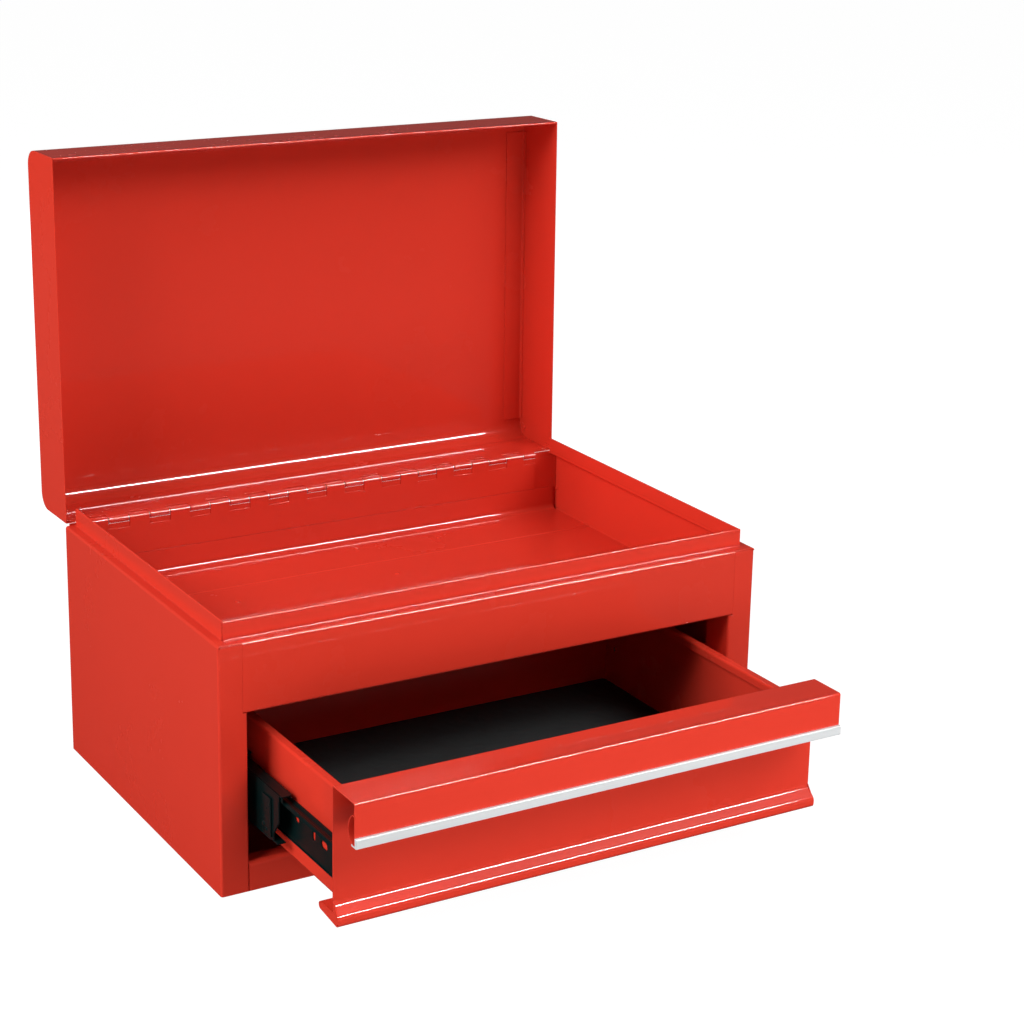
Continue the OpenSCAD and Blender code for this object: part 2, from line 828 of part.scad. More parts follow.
// Holes for the screws that hold the drawer member to the drawer's side.
module inner_screw_holes() {
    for (side = [-1, 1]) on_side(side) for (y = inner_screw_ys())
        across(slide_t - slide_sheet - 1, slide_t + sheet + 1, y, screw_r + pin_clear);
}

function inner_screw_ys() = [inner_front + 12, slide_end - 12];

// A slot through the web of the drawer member, along Y or along Z.
module web_slot(y, length, r, upright) {
    ends = (length - 2 * r) / 2;
    u0 = slide_t - slide_sheet - 1;
    for (s = [-1, 1])
        translate([0, upright ? 0 : s * ends, upright ? s * ends : 0])
            across(u0, slide_t + 1, y, r);
    translate([-carrier_x + u0, y - (upright ? r : ends), slide_z - (upright ? ends : r)])
        cube([slide_sheet + 2, 2 * (upright ? r : ends), 2 * (upright ? ends : r)]);
}

// Drawer member, open towards the cabinet, with adjusting slots in its web.
module slide_inner(side) {
    color(black) drawn_out(1) difference() {
        slide_pose(side, inner_front, slide_end)
            translate([slide_t, 0]) mirror([1, 0]) channel(0, inner_w, inner_h, slide_sheet);
        inner_screw_holes();
        on_side(side) {
            web_slot(inner_front + 36, 12, 2.6, false);
            web_slot(inner_front + 55, 10, 2.6, true);
            web_slot(inner_front + 84, 10, 2.6, false);
            web_slot(slide_end - 40, 12, 2.6, false);
        }
    }
}

module slide_inner_left() {
    slide_inner(-1);
}

module slide_inner_right() {
    slide_inner(1);
}

// Screws that hold the drawer members to the drawer's sides.
module drawer_slide_screws() {
    web = slide_t - slide_sheet;
    color(steel) drawn_out(1) for (side = [-1, 1]) on_side(side) for (y = inner_screw_ys()) {
        across(web - screw_head_t / 2, slide_t + sheet, y, screw_r);
        across(web - screw_head_t, web, y, screw_head_r);
    }
}

// Places of the balls along a cage.
function ball_ys() =
    [for (k = [0 : ball_count - 1]) cage_front + cage_len * (k + 0.5) / ball_count];

// Cage whose two flanges hold the balls.
module ball_cage(side, u, gap, ball_u, share) {
    color(steel) drawn_out(share) difference() {
        slide_pose(side, cage_front, cage_front + cage_len)
            channel(u, cage_w, 2 * gap + cage_t, cage_t);
        on_side(side) for (y = ball_ys())
            translate([-carrier_x + ball_u, y, slide_z])
                cylinder(r = ball_d / 2 + pin_clear, h = 2 * gap + 4 * cage_t, center = true);
    }
}

// Balls of one cage, above and below.
module balls(side, gap, ball_u, share) {
    color(steel) drawn_out(share) on_side(side) for (y = ball_ys()) for (s = [-1, 1])
        translate([-carrier_x + ball_u, y, slide_z + s * gap]) sphere(d = ball_d);
}

module outer_ball_cage_left() {
    ball_cage(-1, cage_web, outer_gap, outer_ball_u, 0.25);
}

module outer_ball_cage_right() {
    ball_cage(1, cage_web, outer_gap, outer_ball_u, 0.25);
}

module inner_ball_cage_left() {
    ball_cage(-1, inner_cage_web, inner_gap, inner_ball_u, 0.75);
}

module inner_ball_cage_right() {
    ball_cage(1, inner_cage_web, inner_gap, inner_ball_u, 0.75);
}

module outer_balls_left() {
    balls(-1, outer_gap, outer_ball_u, 0.25);
}

module outer_balls_right() {
    balls(1, outer_gap, outer_ball_u, 0.25);
}

module inner_balls_left() {
    balls(-1, inner_gap, inner_ball_u, 0.75);
}

module inner_balls_right() {
    balls(1, inner_gap, inner_ball_u, 0.75);
}

left_side_panel();
right_side_panel();
rear_panel();
bottom_pan();
bottom_front_rail();
till_front();
till_tray();
till_support_front();
till_support_rear();
slide_brackets_left();
slide_brackets_right();
slide_outer_left();
slide_outer_right();
cabinet_slide_screws();
hinge_body_leaf();
hinge_pin();
hinge_lid_leaf();
lid_shell();
lid_end_cap_left();
lid_end_cap_right();
drawer_front();
drawer_trim();
drawer_tray();
drawer_back();
drawer_mat();
drawer_slide_screws();
slide_inner_left();
slide_inner_right();
slide_middle_left();
slide_middle_right();
outer_ball_cage_left();
outer_ball_cage_right();
inner_ball_cage_left();
inner_ball_cage_right();
outer_balls_left();
outer_balls_right();
inner_balls_left();
inner_balls_right();
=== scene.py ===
# %% [markdown]
# A folded sheet-steel tool box: a cabinet with an open till, a lid on a piano hinge and one drawer
# on ball slides. The imported model comes in first.

# %% Load the frame
import math

import bmesh
import bpy
from mathutils import Matrix, Vector


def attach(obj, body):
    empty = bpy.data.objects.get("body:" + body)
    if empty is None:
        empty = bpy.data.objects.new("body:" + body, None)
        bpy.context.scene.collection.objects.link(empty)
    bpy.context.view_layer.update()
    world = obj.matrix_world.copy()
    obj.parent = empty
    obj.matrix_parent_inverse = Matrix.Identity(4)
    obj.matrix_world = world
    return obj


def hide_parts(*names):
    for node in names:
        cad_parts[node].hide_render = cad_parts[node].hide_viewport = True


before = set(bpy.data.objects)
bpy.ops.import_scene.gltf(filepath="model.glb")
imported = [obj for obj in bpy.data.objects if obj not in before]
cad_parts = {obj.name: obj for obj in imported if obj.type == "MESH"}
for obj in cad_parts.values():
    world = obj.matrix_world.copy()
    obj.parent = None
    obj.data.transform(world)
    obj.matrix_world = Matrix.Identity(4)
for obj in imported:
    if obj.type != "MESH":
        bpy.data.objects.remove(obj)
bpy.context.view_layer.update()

# %% [markdown]
# The camera stands in front and to the left, a little above the open till. Three angles say how
# far it is turned round the box, how steeply it looks down and how much it is tilted. The lens is
# long, so the box keeps its edges nearly parallel. Its focal length and the point that it is
# centred on are given in the units of a square frame 1024 wide.

# %% Camera
X, Y, Z = Vector((1, 0, 0)), Vector((0, 1, 0)), Vector((0, 0, 1))
TURNED, RAISED, TILTED = -0.5390, 0.2826, 0.0200
EYE = Vector((-0.9561, -1.7681, 0.9008))
FRAME, FOCAL, CENTRE_X, CENTRE_Y = 1024, 2364.1, 507.6, 431.0
SENSOR = 36.0

backward = Vector((math.sin(TURNED) * math.cos(RAISED),
                   -math.cos(TURNED) * math.cos(RAISED), math.sin(RAISED)))
level = (-backward).cross(Z).normalized()
upright = level.cross(-backward)
camera_right = math.cos(TILTED) * level + math.sin(TILTED) * upright
camera_up = math.cos(TILTED) * upright - math.sin(TILTED) * level

lens = bpy.data.cameras.new("camera")
lens.sensor_width = SENSOR
lens.lens = FOCAL * SENSOR / FRAME
lens.shift_x = (FRAME / 2 - CENTRE_X) / FRAME
lens.shift_y = (CENTRE_Y - FRAME / 2) / FRAME
lens.clip_end = 50
camera = bpy.data.objects.new("camera", lens)
camera.matrix_world = Matrix.Translation(EYE) @ Matrix(
    (camera_right, camera_up, backward)).transposed().to_4x4()
bpy.context.scene.collection.objects.link(camera)
bpy.context.scene.camera = camera
print("lens", round(lens.lens, 1), "mm")

# %% [markdown]
# Gloss paint shows what it mirrors, and its colour washes out where it mirrors something pale. So
# there are two kinds of light. Seven broad ones only brighten the paint. One narrow one only shows
# in reflections, and draws the white lines along the bends.

# %% Lights
MIDDLE, DRAWER = (0.0, 0.0, 0.2), (0.0, -0.15, 0.08)


def soft_box(name, place, aim, width, height, power, mirrored=False):
    """A rectangular studio light that looks at a point. The paint either mirrors it or is lit."""
    lamp = bpy.data.lights.new(name, "AREA")
    lamp.shape = "RECTANGLE"
    lamp.size, lamp.size_y, lamp.energy = width, height, power
    stand = bpy.data.objects.new(name, lamp)
    stand.location = place
    stand.rotation_euler = (Vector(aim) - Vector(place)).to_track_quat("-Z", "Y").to_euler()
    stand.visible_camera = False
    stand.visible_glossy, stand.visible_diffuse = mirrored, not mirrored
    bpy.context.scene.collection.objects.link(stand)


for name, place, aim, width, height, power in (
        ("key", (0.9, -1.9, 1.9), MIDDLE, 1.2, 1.0, 19.5),
        ("right_high", (1.6, -1.6, 2.0), MIDDLE, 1.4, 1.2, 23),
        ("left_high", (-2.2, -0.2, 1.8), MIDDLE, 1.6, 1.2, 60),
        ("left_low", (-2.6, 0.5, 0.35), MIDDLE, 1.8, 0.6, 16),
        ("drawer_kick", (0.1, -0.85, 0.09), DRAWER, 1.3, 0.2, 2.4),
        ("corner_kick", (-0.2, -1.1, 0.10), DRAWER, 0.8, 0.2, 0.8),
        ("back_fill", (0.3, 2.6, 0.7), MIDDLE, 1.8, 1.2, 42)):
    soft_box(name, place, aim, width, height, power)
soft_box("bend_lights", (1.00, -1.47, 1.63), (0.80, -0.1, 0.2), 1.05, 0.29, 68, mirrored=True)

# %% [markdown]
# Surroundings, floor and finishes are all built from shader nodes. These short functions add a
# node with its values filled in, mix two colours, join nodes up, and start a group of nodes.

# %% Tools for shader nodes
FLOAT, VECTOR = "NodeSocketFloat", "NodeSocketVector"


def node(tree, kind, **settings):
    """A node with some inputs and settings filled in. Underscores stand for an input's spaces."""
    made = tree.nodes.new(kind)
    for key, value in settings.items():
        label = key.replace("_", " ")
        if label in made.inputs.keys():
            made.inputs[label].default_value = value
        else:
            setattr(made, key, value)
    return made


def times(tree, factor):
    """A node that multiplies its first input by a factor."""
    made = node(tree, "ShaderNodeMath", operation="MULTIPLY")
    made.inputs[1].default_value = factor
    return made


def colour_mix(tree, first, second):
    """A mix of two colours, as its factor, its two colour inputs and its result."""
    made = node(tree, "ShaderNodeMix", data_type="RGBA")
    sockets = {s.identifier: s for s in [*made.inputs, *made.outputs]}
    for label, colour in (("A_Color", first), ("B_Color", second)):
        if colour is not None:
            sockets[label].default_value = (*colour, 1)
    return [sockets[k] for k in ("Factor_Float", "A_Color", "B_Color", "Result_Color")]


def wire(tree, *pairs):
    """Joins outputs to inputs, pair by pair."""
    for output, target in pairs:
        tree.links.new(output, target)


def new_material(name):
    """A new material, as itself, its node tree and its Principled shader."""
    made = bpy.data.materials.new(name)
    made.use_nodes = True
    return made, made.node_tree, made.node_tree.nodes["Principled BSDF"]


def new_group(name, inputs, outputs):
    """An empty shader group with the named inputs and outputs."""
    group = bpy.data.node_groups.new(name, "ShaderNodeTree")
    for label, kind, value in inputs:
        group.interface.new_socket(label, in_out="INPUT", socket_type=kind).default_value = value
    for label, kind in outputs:
        group.interface.new_socket(label, in_out="OUTPUT", socket_type=kind)
    return group, group.nodes.new("NodeGroupInput"), group.nodes.new("NodeGroupOutput")


print("socket kinds:", FLOAT, VECTOR)

# %% [markdown]
# The surroundings are white to the camera. In reflections, and as a light, they are dim, so that
# the lights above do the work.

# %% Surroundings
SEEN, MIRRORED, LIGHTING = 1.0, 0.06, 0.07

studio = bpy.data.worlds.new("studio")
studio.use_nodes = True
tree = studio.node_tree
ray = node(tree, "ShaderNodeLightPath")
sky = tree.nodes["Background"]
by_default = node(tree, "ShaderNodeValue")
by_default.outputs[0].default_value = LIGHTING
strength = by_default.outputs[0]
for kind, value in (("Is Glossy Ray", MIRRORED), ("Is Camera Ray", SEEN)):
    pick = node(tree, "ShaderNodeMix")
    pick.inputs[3].default_value = value
    wire(tree, (ray.outputs[kind], pick.inputs[0]), (strength, pick.inputs[2]))
    strength = pick.outputs[0]
sky.inputs["Color"].default_value = (1.0, 1.0, 1.0, 1)
wire(tree, (strength, sky.inputs["Strength"]))
bpy.context.scene.world = studio
bpy.context.scene.view_settings.view_transform = "Standard"
print("surroundings:", {"seen": SEEN, "mirrored": MIRRORED, "lighting": LIGHTING})

# %% [markdown]
# The floor is one large square of pale paint, just under the box. The camera sees it glow a
# little, so it runs into the white surroundings without an edge. It is nearly black in
# reflections and sends back less light than it seems to, which keeps the paint's gloss deep and
# its undersides dark.

# %% Floor
FLOOR_REACH, FLOOR_DROP = 8, 0.0005
PALE, MIRRORED_TONE, BOUNCED_TONE = (0.95,) * 3, (0.03,) * 3, (0.36,) * 3
GLOW, GLOW_SHARE = 1.15, 0.85

floor_mesh = bpy.data.meshes.new("floor")
floor_bm = bmesh.new()
bmesh.ops.create_grid(floor_bm, x_segments=1, y_segments=1, size=FLOOR_REACH)
floor_bm.to_mesh(floor_mesh)
floor_bm.free()
floor = bpy.data.objects.new("floor", floor_mesh)
floor.location.z = -FLOOR_DROP
bpy.context.scene.collection.objects.link(floor)

floor_paint, tree, skin = new_material("studio_floor")
skin.inputs["Roughness"].default_value = 0.9
skin.inputs["Specular IOR Level"].default_value = 0.1
ray = node(tree, "ShaderNodeLightPath")
is_mirrored, _, _, pale = colour_mix(tree, PALE, MIRRORED_TONE)
is_bounced, pale_seen, _, pale_all = colour_mix(tree, None, BOUNCED_TONE)
glow = node(tree, "ShaderNodeEmission", Strength=GLOW)
share = times(tree, GLOW_SHARE)
blend = node(tree, "ShaderNodeMixShader")
wire(tree,
     (ray.outputs["Is Glossy Ray"], is_mirrored),
     (ray.outputs["Is Diffuse Ray"], is_bounced),
     (pale, pale_seen),
     (pale_all, skin.inputs["Base Color"]),
     (ray.outputs["Is Camera Ray"], share.inputs[0]),
     (share.outputs[0], blend.inputs[0]),
     (skin.outputs[0], blend.inputs[1]),
     (glow.outputs[0], blend.inputs[2]),
     (blend.outputs[0], tree.nodes["Material Output"].inputs["Surface"]))
floor_mesh.materials.append(floor_paint)
print("floor:", 2 * FLOOR_REACH, "m square")

# %% [markdown]
# Effects that several finishes share are node groups, built once. Orange peel is the faint
# pebbling of sprayed paint. Ripple is the slow waviness of thin sheet, which bends reflections.
# Rubbed marks the sharp edges, where handling polishes or wears a finish. Dust settles in soft
# patches. Each group gives out only a height, a mask or a normal.

# %% Orange peel and ripple
RIPPLE_HEIGHT = 60.0  # the ripple's height, as a multiple of the orange peel's

peel, peel_in, peel_out = new_group(
    "orange_peel", [("Size", FLOAT, 500.0), ("Ripple", FLOAT, 8.0)], [("Height", FLOAT)])
place = node(peel, "ShaderNodeTexCoord")
pebbles = node(peel, "ShaderNodeTexNoise", Detail=1.5, Roughness=0.55)
waves = node(peel, "ShaderNodeTexNoise", Detail=1.0, Roughness=0.4)
grow = times(peel, RIPPLE_HEIGHT)
both = node(peel, "ShaderNodeMath", operation="ADD")
wire(peel,
     (place.outputs["Object"], pebbles.inputs["Vector"]),
     (place.outputs["Object"], waves.inputs["Vector"]),
     (peel_in.outputs["Size"], pebbles.inputs["Scale"]),
     (peel_in.outputs["Ripple"], waves.inputs["Scale"]),
     (waves.outputs["Fac"], grow.inputs[0]),
     (pebbles.outputs["Fac"], both.inputs[0]),
     (grow.outputs[0], both.inputs[1]),
     (both.outputs[0], peel_out.inputs["Height"]))
print("group:", peel.name)

# %% Rounded and rubbed edges
EDGE_RADIUS = 0.0006  # metres of rounding that the shading gives every sharp edge

edges, edges_in, edges_out = new_group(
    "rubbed_edges", [("Breakup", FLOAT, 180.0)], [("Normal", VECTOR), ("Mask", FLOAT)])
rounding = node(edges, "ShaderNodeBevel", samples=4, Radius=EDGE_RADIUS)
flat = node(edges, "ShaderNodeNewGeometry")
agree = node(edges, "ShaderNodeVectorMath", operation="DOT_PRODUCT")
near_edge = node(edges, "ShaderNodeMapRange", From_Min=0.985, From_Max=0.80)
place = node(edges, "ShaderNodeTexCoord")
speckle = node(edges, "ShaderNodeTexNoise", Detail=3.0)
worn = node(edges, "ShaderNodeMath", operation="MULTIPLY")
wire(edges,
     (rounding.outputs["Normal"], agree.inputs[0]),
     (flat.outputs["Normal"], agree.inputs[1]),
     (agree.outputs["Value"], near_edge.inputs["Value"]),
     (place.outputs["Object"], speckle.inputs["Vector"]),
     (edges_in.outputs["Breakup"], speckle.inputs["Scale"]),
     (near_edge.outputs["Result"], worn.inputs[0]),
     (speckle.outputs["Fac"], worn.inputs[1]),
     (worn.outputs[0], edges_out.inputs["Mask"]),
     (rounding.outputs["Normal"], edges_out.inputs["Normal"]))
print("group:", edges.name)

# %% Dust
dust, dust_in, dust_out = new_group("dust", [("Patch", FLOAT, 9.0)], [("Mask", FLOAT)])
place = node(dust, "ShaderNodeTexCoord")
clouds = node(dust, "ShaderNodeTexNoise", Detail=5.0, Roughness=0.6)
settled = node(dust, "ShaderNodeMapRange", From_Min=0.48, From_Max=0.75)
wire(dust,
     (place.outputs["Object"], clouds.inputs["Vector"]),
     (dust_in.outputs["Patch"], clouds.inputs["Scale"]),
     (clouds.outputs["Fac"], settled.inputs["Value"]),
     (settled.outputs["Result"], dust_out.inputs["Mask"]))
print("group:", dust.name)

# %% [markdown]
# A finish is one Principled shader with a few varying inputs: the base colour drifts between two
# near tones and lightens on rubbed edges, the roughness drifts too, and the normal carries the
# orange peel. Values that are the same everywhere are typed on the shader itself.

# %% A finish from its parts
RUBBED_SHARE = 0.5  # how much of the rubbed tone the most worn edge takes


def finish(name, tone, other_tone, rubbed_tone, rough, size, ripple, depth, **shader):
    """A material with mottled colour and roughness, rubbed edges and a pebbled surface."""
    made, tree, skin = new_material(name)
    for key, value in shader.items():
        skin.inputs[key.replace("_", " ")].default_value = value
    dusty = node(tree, "ShaderNodeGroup", node_tree=dust)
    edge = node(tree, "ShaderNodeGroup", node_tree=edges)
    pebbled = node(tree, "ShaderNodeGroup", node_tree=peel)
    pebbled.inputs["Size"].default_value = size
    pebbled.inputs["Ripple"].default_value = ripple
    patch, _, _, mottled = colour_mix(tree, tone, other_tone)
    rubbing, under_rub, _, rubbed = colour_mix(tree, None, rubbed_tone)
    share = times(tree, RUBBED_SHARE)
    roughness = node(tree, "ShaderNodeMapRange", To_Min=rough[0], To_Max=rough[1])
    bump = node(tree, "ShaderNodeBump", Strength=1.0, Distance=depth)
    wire(tree,
         (dusty.outputs["Mask"], patch),
         (mottled, under_rub),
         (edge.outputs["Mask"], share.inputs[0]),
         (share.outputs[0], rubbing),
         (rubbed, skin.inputs["Base Color"]),
         (dusty.outputs["Mask"], roughness.inputs["Value"]),
         (roughness.outputs["Result"], skin.inputs["Roughness"]),
         (pebbled.outputs["Height"], bump.inputs["Height"]),
         (edge.outputs["Normal"], bump.inputs["Normal"]),
         (bump.outputs["Normal"], skin.inputs["Normal"]))
    return made


print("shared groups:", [g.name for g in bpy.data.node_groups])

# %% [markdown]
# The cabinet's enamel is a warm signal red. A clear, nearly smooth coat lies over a slightly
# softer base, so reflections are sharp while the body of the colour stays even. The slides are
# painted black. Their screws, their ball cages and the hinge pin are dull zinc, and the balls are
# bright steel. The mat is fine black foam.

# %% Painted, plated and foam finishes
red_enamel = finish(
    "red_enamel", tone=(0.740, 0.045, 0.024), other_tone=(0.728, 0.044, 0.023),
    rubbed_tone=(0.780, 0.052, 0.030), rough=(0.26, 0.29), size=520.0, ripple=7.0,
    depth=0.000004, Specular_IOR_Level=0.06, Coat_Weight=1.0, Coat_Roughness=0.03)
slide_black = finish(
    "slide_black", tone=(0.0030, 0.0110, 0.0110), other_tone=(0.0040, 0.0135, 0.0135),
    rubbed_tone=(0.040, 0.055, 0.055), rough=(0.28, 0.36), size=900.0, ripple=30.0,
    depth=0.000006, Specular_IOR_Level=0.15)
zinc = finish(
    "zinc", tone=(0.56, 0.57, 0.59), other_tone=(0.50, 0.51, 0.53),
    rubbed_tone=(0.70, 0.71, 0.73), rough=(0.28, 0.40), size=900.0, ripple=40.0,
    depth=0.000010, Metallic=1.0)
ball_bearing = finish(
    "ball_bearing", tone=(0.66, 0.67, 0.69), other_tone=(0.60, 0.61, 0.63),
    rubbed_tone=(0.75, 0.76, 0.78), rough=(0.08, 0.14), size=1200.0, ripple=60.0,
    depth=0.000002, Metallic=1.0)
mat_foam = finish(
    "mat_foam", tone=(0.0400, 0.0450, 0.0460), other_tone=(0.0430, 0.0480, 0.0490),
    rubbed_tone=(0.060, 0.062, 0.063), rough=(0.78, 0.92), size=1500.0, ripple=60.0,
    depth=0.000035, Specular_IOR_Level=0.15)
print("finishes:", [m.name for m in bpy.data.materials])

# %% [markdown]
# The trim is drawn aluminium. Its grain runs along the strip, so the noise is stretched that way
# by a Mapping node before it reaches the bump and the roughness.

# %% Drawn aluminium
GRAIN = (6, 900, 900)  # streaks per metre along, across and through the strip

trim_aluminium, tree, skin = new_material("drawn_aluminium")
skin.inputs["Metallic"].default_value = 0.12
place = node(tree, "ShaderNodeTexCoord")
stretch = node(tree, "ShaderNodeMapping", Scale=GRAIN)
grain = node(tree, "ShaderNodeTexNoise", Scale=1.0, Detail=2.0)
streak, _, _, streaked = colour_mix(tree, (0.68, 0.70, 0.71), (0.76, 0.78, 0.79))
rough = node(tree, "ShaderNodeMapRange", To_Min=0.24, To_Max=0.40)
bump = node(tree, "ShaderNodeBump", Strength=1.0, Distance=0.000006)
edge = node(tree, "ShaderNodeGroup", node_tree=edges)
wire(tree,
     (place.outputs["Object"], stretch.inputs["Vector"]),
     (stretch.outputs["Vector"], grain.inputs["Vector"]),
     (grain.outputs["Fac"], streak),
     (grain.outputs["Fac"], rough.inputs["Value"]),
     (grain.outputs["Fac"], bump.inputs["Height"]),
     (edge.outputs["Normal"], bump.inputs["Normal"]),
     (streaked, skin.inputs["Base Color"]),
     (rough.outputs["Result"], skin.inputs["Roughness"]),
     (bump.outputs["Normal"], skin.inputs["Normal"]))
print("finish:", trim_aluminium.name)

# %% [markdown]
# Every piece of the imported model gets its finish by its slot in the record. Pieces that are
# modelled again below are hidden later, when the new piece says what it replaces.

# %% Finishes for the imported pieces
finish_of_slot = {"red_paint": red_enamel, "black_slide": slide_black, "plain_steel": zinc,
                  "ball_steel": ball_bearing, "trim_aluminium": trim_aluminium,
                  "black_mat": mat_foam}
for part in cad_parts.values():
    for seat in part.material_slots:
        seat.material = finish_of_slot[seat.material.name.split(".")[0]]
print("dressed:", len(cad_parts))

# %% [markdown]
# Sheet steel is modelled the way it is made. It starts as one edge, which is the width of the
# sheet. A straight stretch extrudes that edge, and a bend spins it about the bend's axis. What
# comes out is one side of the sheet. A Solidify modifier then gives it thickness and a Bevel
# modifier takes the sharpness off the cut edges. Everything is drawn in millimetres with the lid
# and drawer shut, and is scaled to metres at the end.

# %% Straight runs and bends
SHEET, HEMMED = 1.0, 0.9  # a hemmed sheet is drawn thinner, so that its two layers stay apart
BEND_STEP = math.radians(9)


def chain(bm, points):
    """Edges through a row of points."""
    verts = [bm.verts.new(p) for p in points]
    return [bm.edges.new(pair) for pair in zip(verts, verts[1:])]


def run(bm, geom, step):
    """A straight stretch. Returns the new outer edges."""
    out = bmesh.ops.extrude_edge_only(bm, edges=geom)["geom"]
    fresh = [g for g in out if isinstance(g, bmesh.types.BMVert)]
    bmesh.ops.translate(bm, verts=fresh, vec=step)
    return [g for g in out if isinstance(g, bmesh.types.BMEdge)
            and all(v in fresh for v in g.verts)]


def bend(bm, geom, centre, axis, angle):
    """A bend about an axis. Returns the new outer edges."""
    ends = list(dict.fromkeys(v for e in geom for v in e.verts))
    last = bmesh.ops.spin(
        bm, geom=ends + geom, cent=centre, axis=axis, dvec=(0, 0, 0), angle=angle,
        steps=max(2, round(abs(angle) / BEND_STEP)), use_merge=False, use_normal_flip=False,
        use_duplicate=False)["geom_last"]
    return [g for g in last if isinstance(g, bmesh.types.BMEdge)]


def fold(bm, geom, heading, axis, side, path):
    """Folds along a path of (run, turn, inside radius) and returns the last edges. A positive turn
    is right-handed about the axis, and side is +1 where the sheet's thickness lies on the side
    that such a turn goes to."""
    heading, axis = Vector(heading), Vector(axis)
    for length, turn, radius in path:
        if length:
            geom = run(bm, geom, heading * length)
        if turn:
            sign = 1 if turn > 0 else -1
            reach = radius + (SHEET if sign == side else 0)
            centre = geom[0].verts[0].co + axis.cross(heading) * sign * reach
            geom = bend(bm, geom, centre, axis, math.radians(turn))
            heading = Matrix.Rotation(math.radians(turn), 3, axis) @ heading
    return geom


print("a right angle takes", round(math.radians(90) / BEND_STEP), "steps")

# %% [markdown]
# Some pieces are not folded but solid: bars with one outline all along, and plain blocks. These
# functions make them, round some of their edges, and pick edges out of a shape. Shapes that come
# in pairs are drawn on the left and mirrored to the right.

# %% Bars, blocks and edges
SIDES = (("left", -1), ("right", 1))


def flip(bm, side):
    """Keeps a shape drawn on the left there, or mirrors it to the right."""
    if side > 0:
        bmesh.ops.scale(bm, verts=bm.verts, vec=(-1, 1, 1))


def push(bm, face, step):
    """Extrudes one face and returns the face at the new end."""
    out = bmesh.ops.extrude_face_region(bm, geom=[face])["geom"]
    bmesh.ops.translate(bm, verts=[g for g in out if isinstance(g, bmesh.types.BMVert)], vec=step)
    return next(g for g in out if isinstance(g, bmesh.types.BMFace))


def bar(bm, outline, stops):
    """A closed bar: an outline in Y and Z, extruded from the first stop in X to the last."""
    face = bm.faces.new([bm.verts.new((stops[0], y, z)) for y, z in outline])
    for here, there in zip(stops, stops[1:]):
        face = push(bm, face, X * (there - here))


def block(bm, low, high):
    """A box between two corners. Returns its corners."""
    low, high = Vector(low), Vector(high)
    verts = bmesh.ops.create_cube(bm, size=1)["verts"]
    bmesh.ops.scale(bm, verts=verts, vec=high - low)
    bmesh.ops.translate(bm, verts=verts, vec=(low + high) / 2)
    return verts


def near(a, b):
    """Whether two lengths in millimetres are the same."""
    return abs(a - b) < 0.01


def edges_where(bm, test):
    """Edges whose two ends both pass a test."""
    return [e for e in bm.edges if all(test(v.co) for v in e.verts)]


def inner_edges(bm):
    """Edges between two faces."""
    return [e for e in bm.edges if len(e.link_faces) == 2]


def round_off(bm, geom, width, segments):
    """Rounds some edges."""
    bmesh.ops.bevel(bm, geom=geom, offset=width, offset_type="OFFSET", segments=segments,
                    profile=0.5, affect="EDGES", clamp_overlap=True, material=-1)


print("sides:", [name for name, side in SIDES])

# %% [markdown]
# One function turns any of these shapes into a finished piece. It merges doubled points, makes
# the faces agree, and turns a shell so that its largest face looks outwards. Lid pieces swing
# open about the hinge pin, and drawer pieces slide out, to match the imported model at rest.

# %% From a shape to a piece
MILLIMETRE = 0.001
PIN_Y, PIN_Z = 169.2, 216.0
LID_ANGLE = math.radians(-90.8)
DRAWN = {"drawer": 168.0, "middle_left": 84.0, "middle_right": 84.0}


def to_rest(bm, body):
    """Moves a shape drawn shut to where its body stands at rest, and scales it to metres."""
    if body == "lid":
        bmesh.ops.rotate(bm, verts=bm.verts, cent=(0, PIN_Y, PIN_Z),
                         matrix=Matrix.Rotation(LID_ANGLE, 3, "X"))
    bmesh.ops.translate(bm, verts=bm.verts, vec=(0, -DRAWN.get(body, 0), 0))
    bmesh.ops.scale(bm, verts=bm.verts, vec=(MILLIMETRE,) * 3)


def piece(name, bm, body, nodes=(), slot="red_paint", outward=None, thickness=None, edge=0.2,
          segments=2):
    """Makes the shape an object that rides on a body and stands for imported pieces."""
    bmesh.ops.remove_doubles(bm, verts=bm.verts, dist=0.002)
    bmesh.ops.recalc_face_normals(bm, faces=bm.faces)
    if outward is not None:
        largest = max(bm.faces, key=lambda f: f.calc_area())
        if largest.normal.dot(Vector(outward)) < 0:
            bmesh.ops.reverse_faces(bm, faces=bm.faces)
    to_rest(bm, body)
    mesh = bpy.data.meshes.new(name)
    bm.to_mesh(mesh)
    bm.free()
    for face in mesh.polygons:
        face.use_smooth = True
    mesh.materials.append(finish_of_slot[slot])
    made = bpy.data.objects.new(name, mesh)
    bpy.context.scene.collection.objects.link(made)
    if thickness:
        wall = made.modifiers.new("thickness", "SOLIDIFY")
        wall.thickness, wall.offset = thickness * MILLIMETRE, -1
        wall.use_even_offset = True
    if edge:
        soften = made.modifiers.new("soft_edges", "BEVEL")
        soften.width, soften.segments = edge * MILLIMETRE, segments
        soften.limit_method, soften.angle_limit = "ANGLE", math.radians(40)
        soften.miter_outer = "MITER_ARC"
        made.modifiers.new("flat_faces", "WEIGHTED_NORMAL")
    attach(made, body)
    if nodes:
        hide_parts(*nodes)
    print(name, len(mesh.polygons), "faces")


print("pieces are drawn shut; the drawer then moves", DRAWN["drawer"], "mm")

# %% [markdown]
# Each side of the cabinet is one blank: a wall whose front edge wraps into the stile and then back
# into the drawer opening, and whose top edge wraps into the ledge and the hemmed upstand that the
# lid closes over. The wall is a small grid of faces, so that single stretches of its edges can be
# folded on their own.

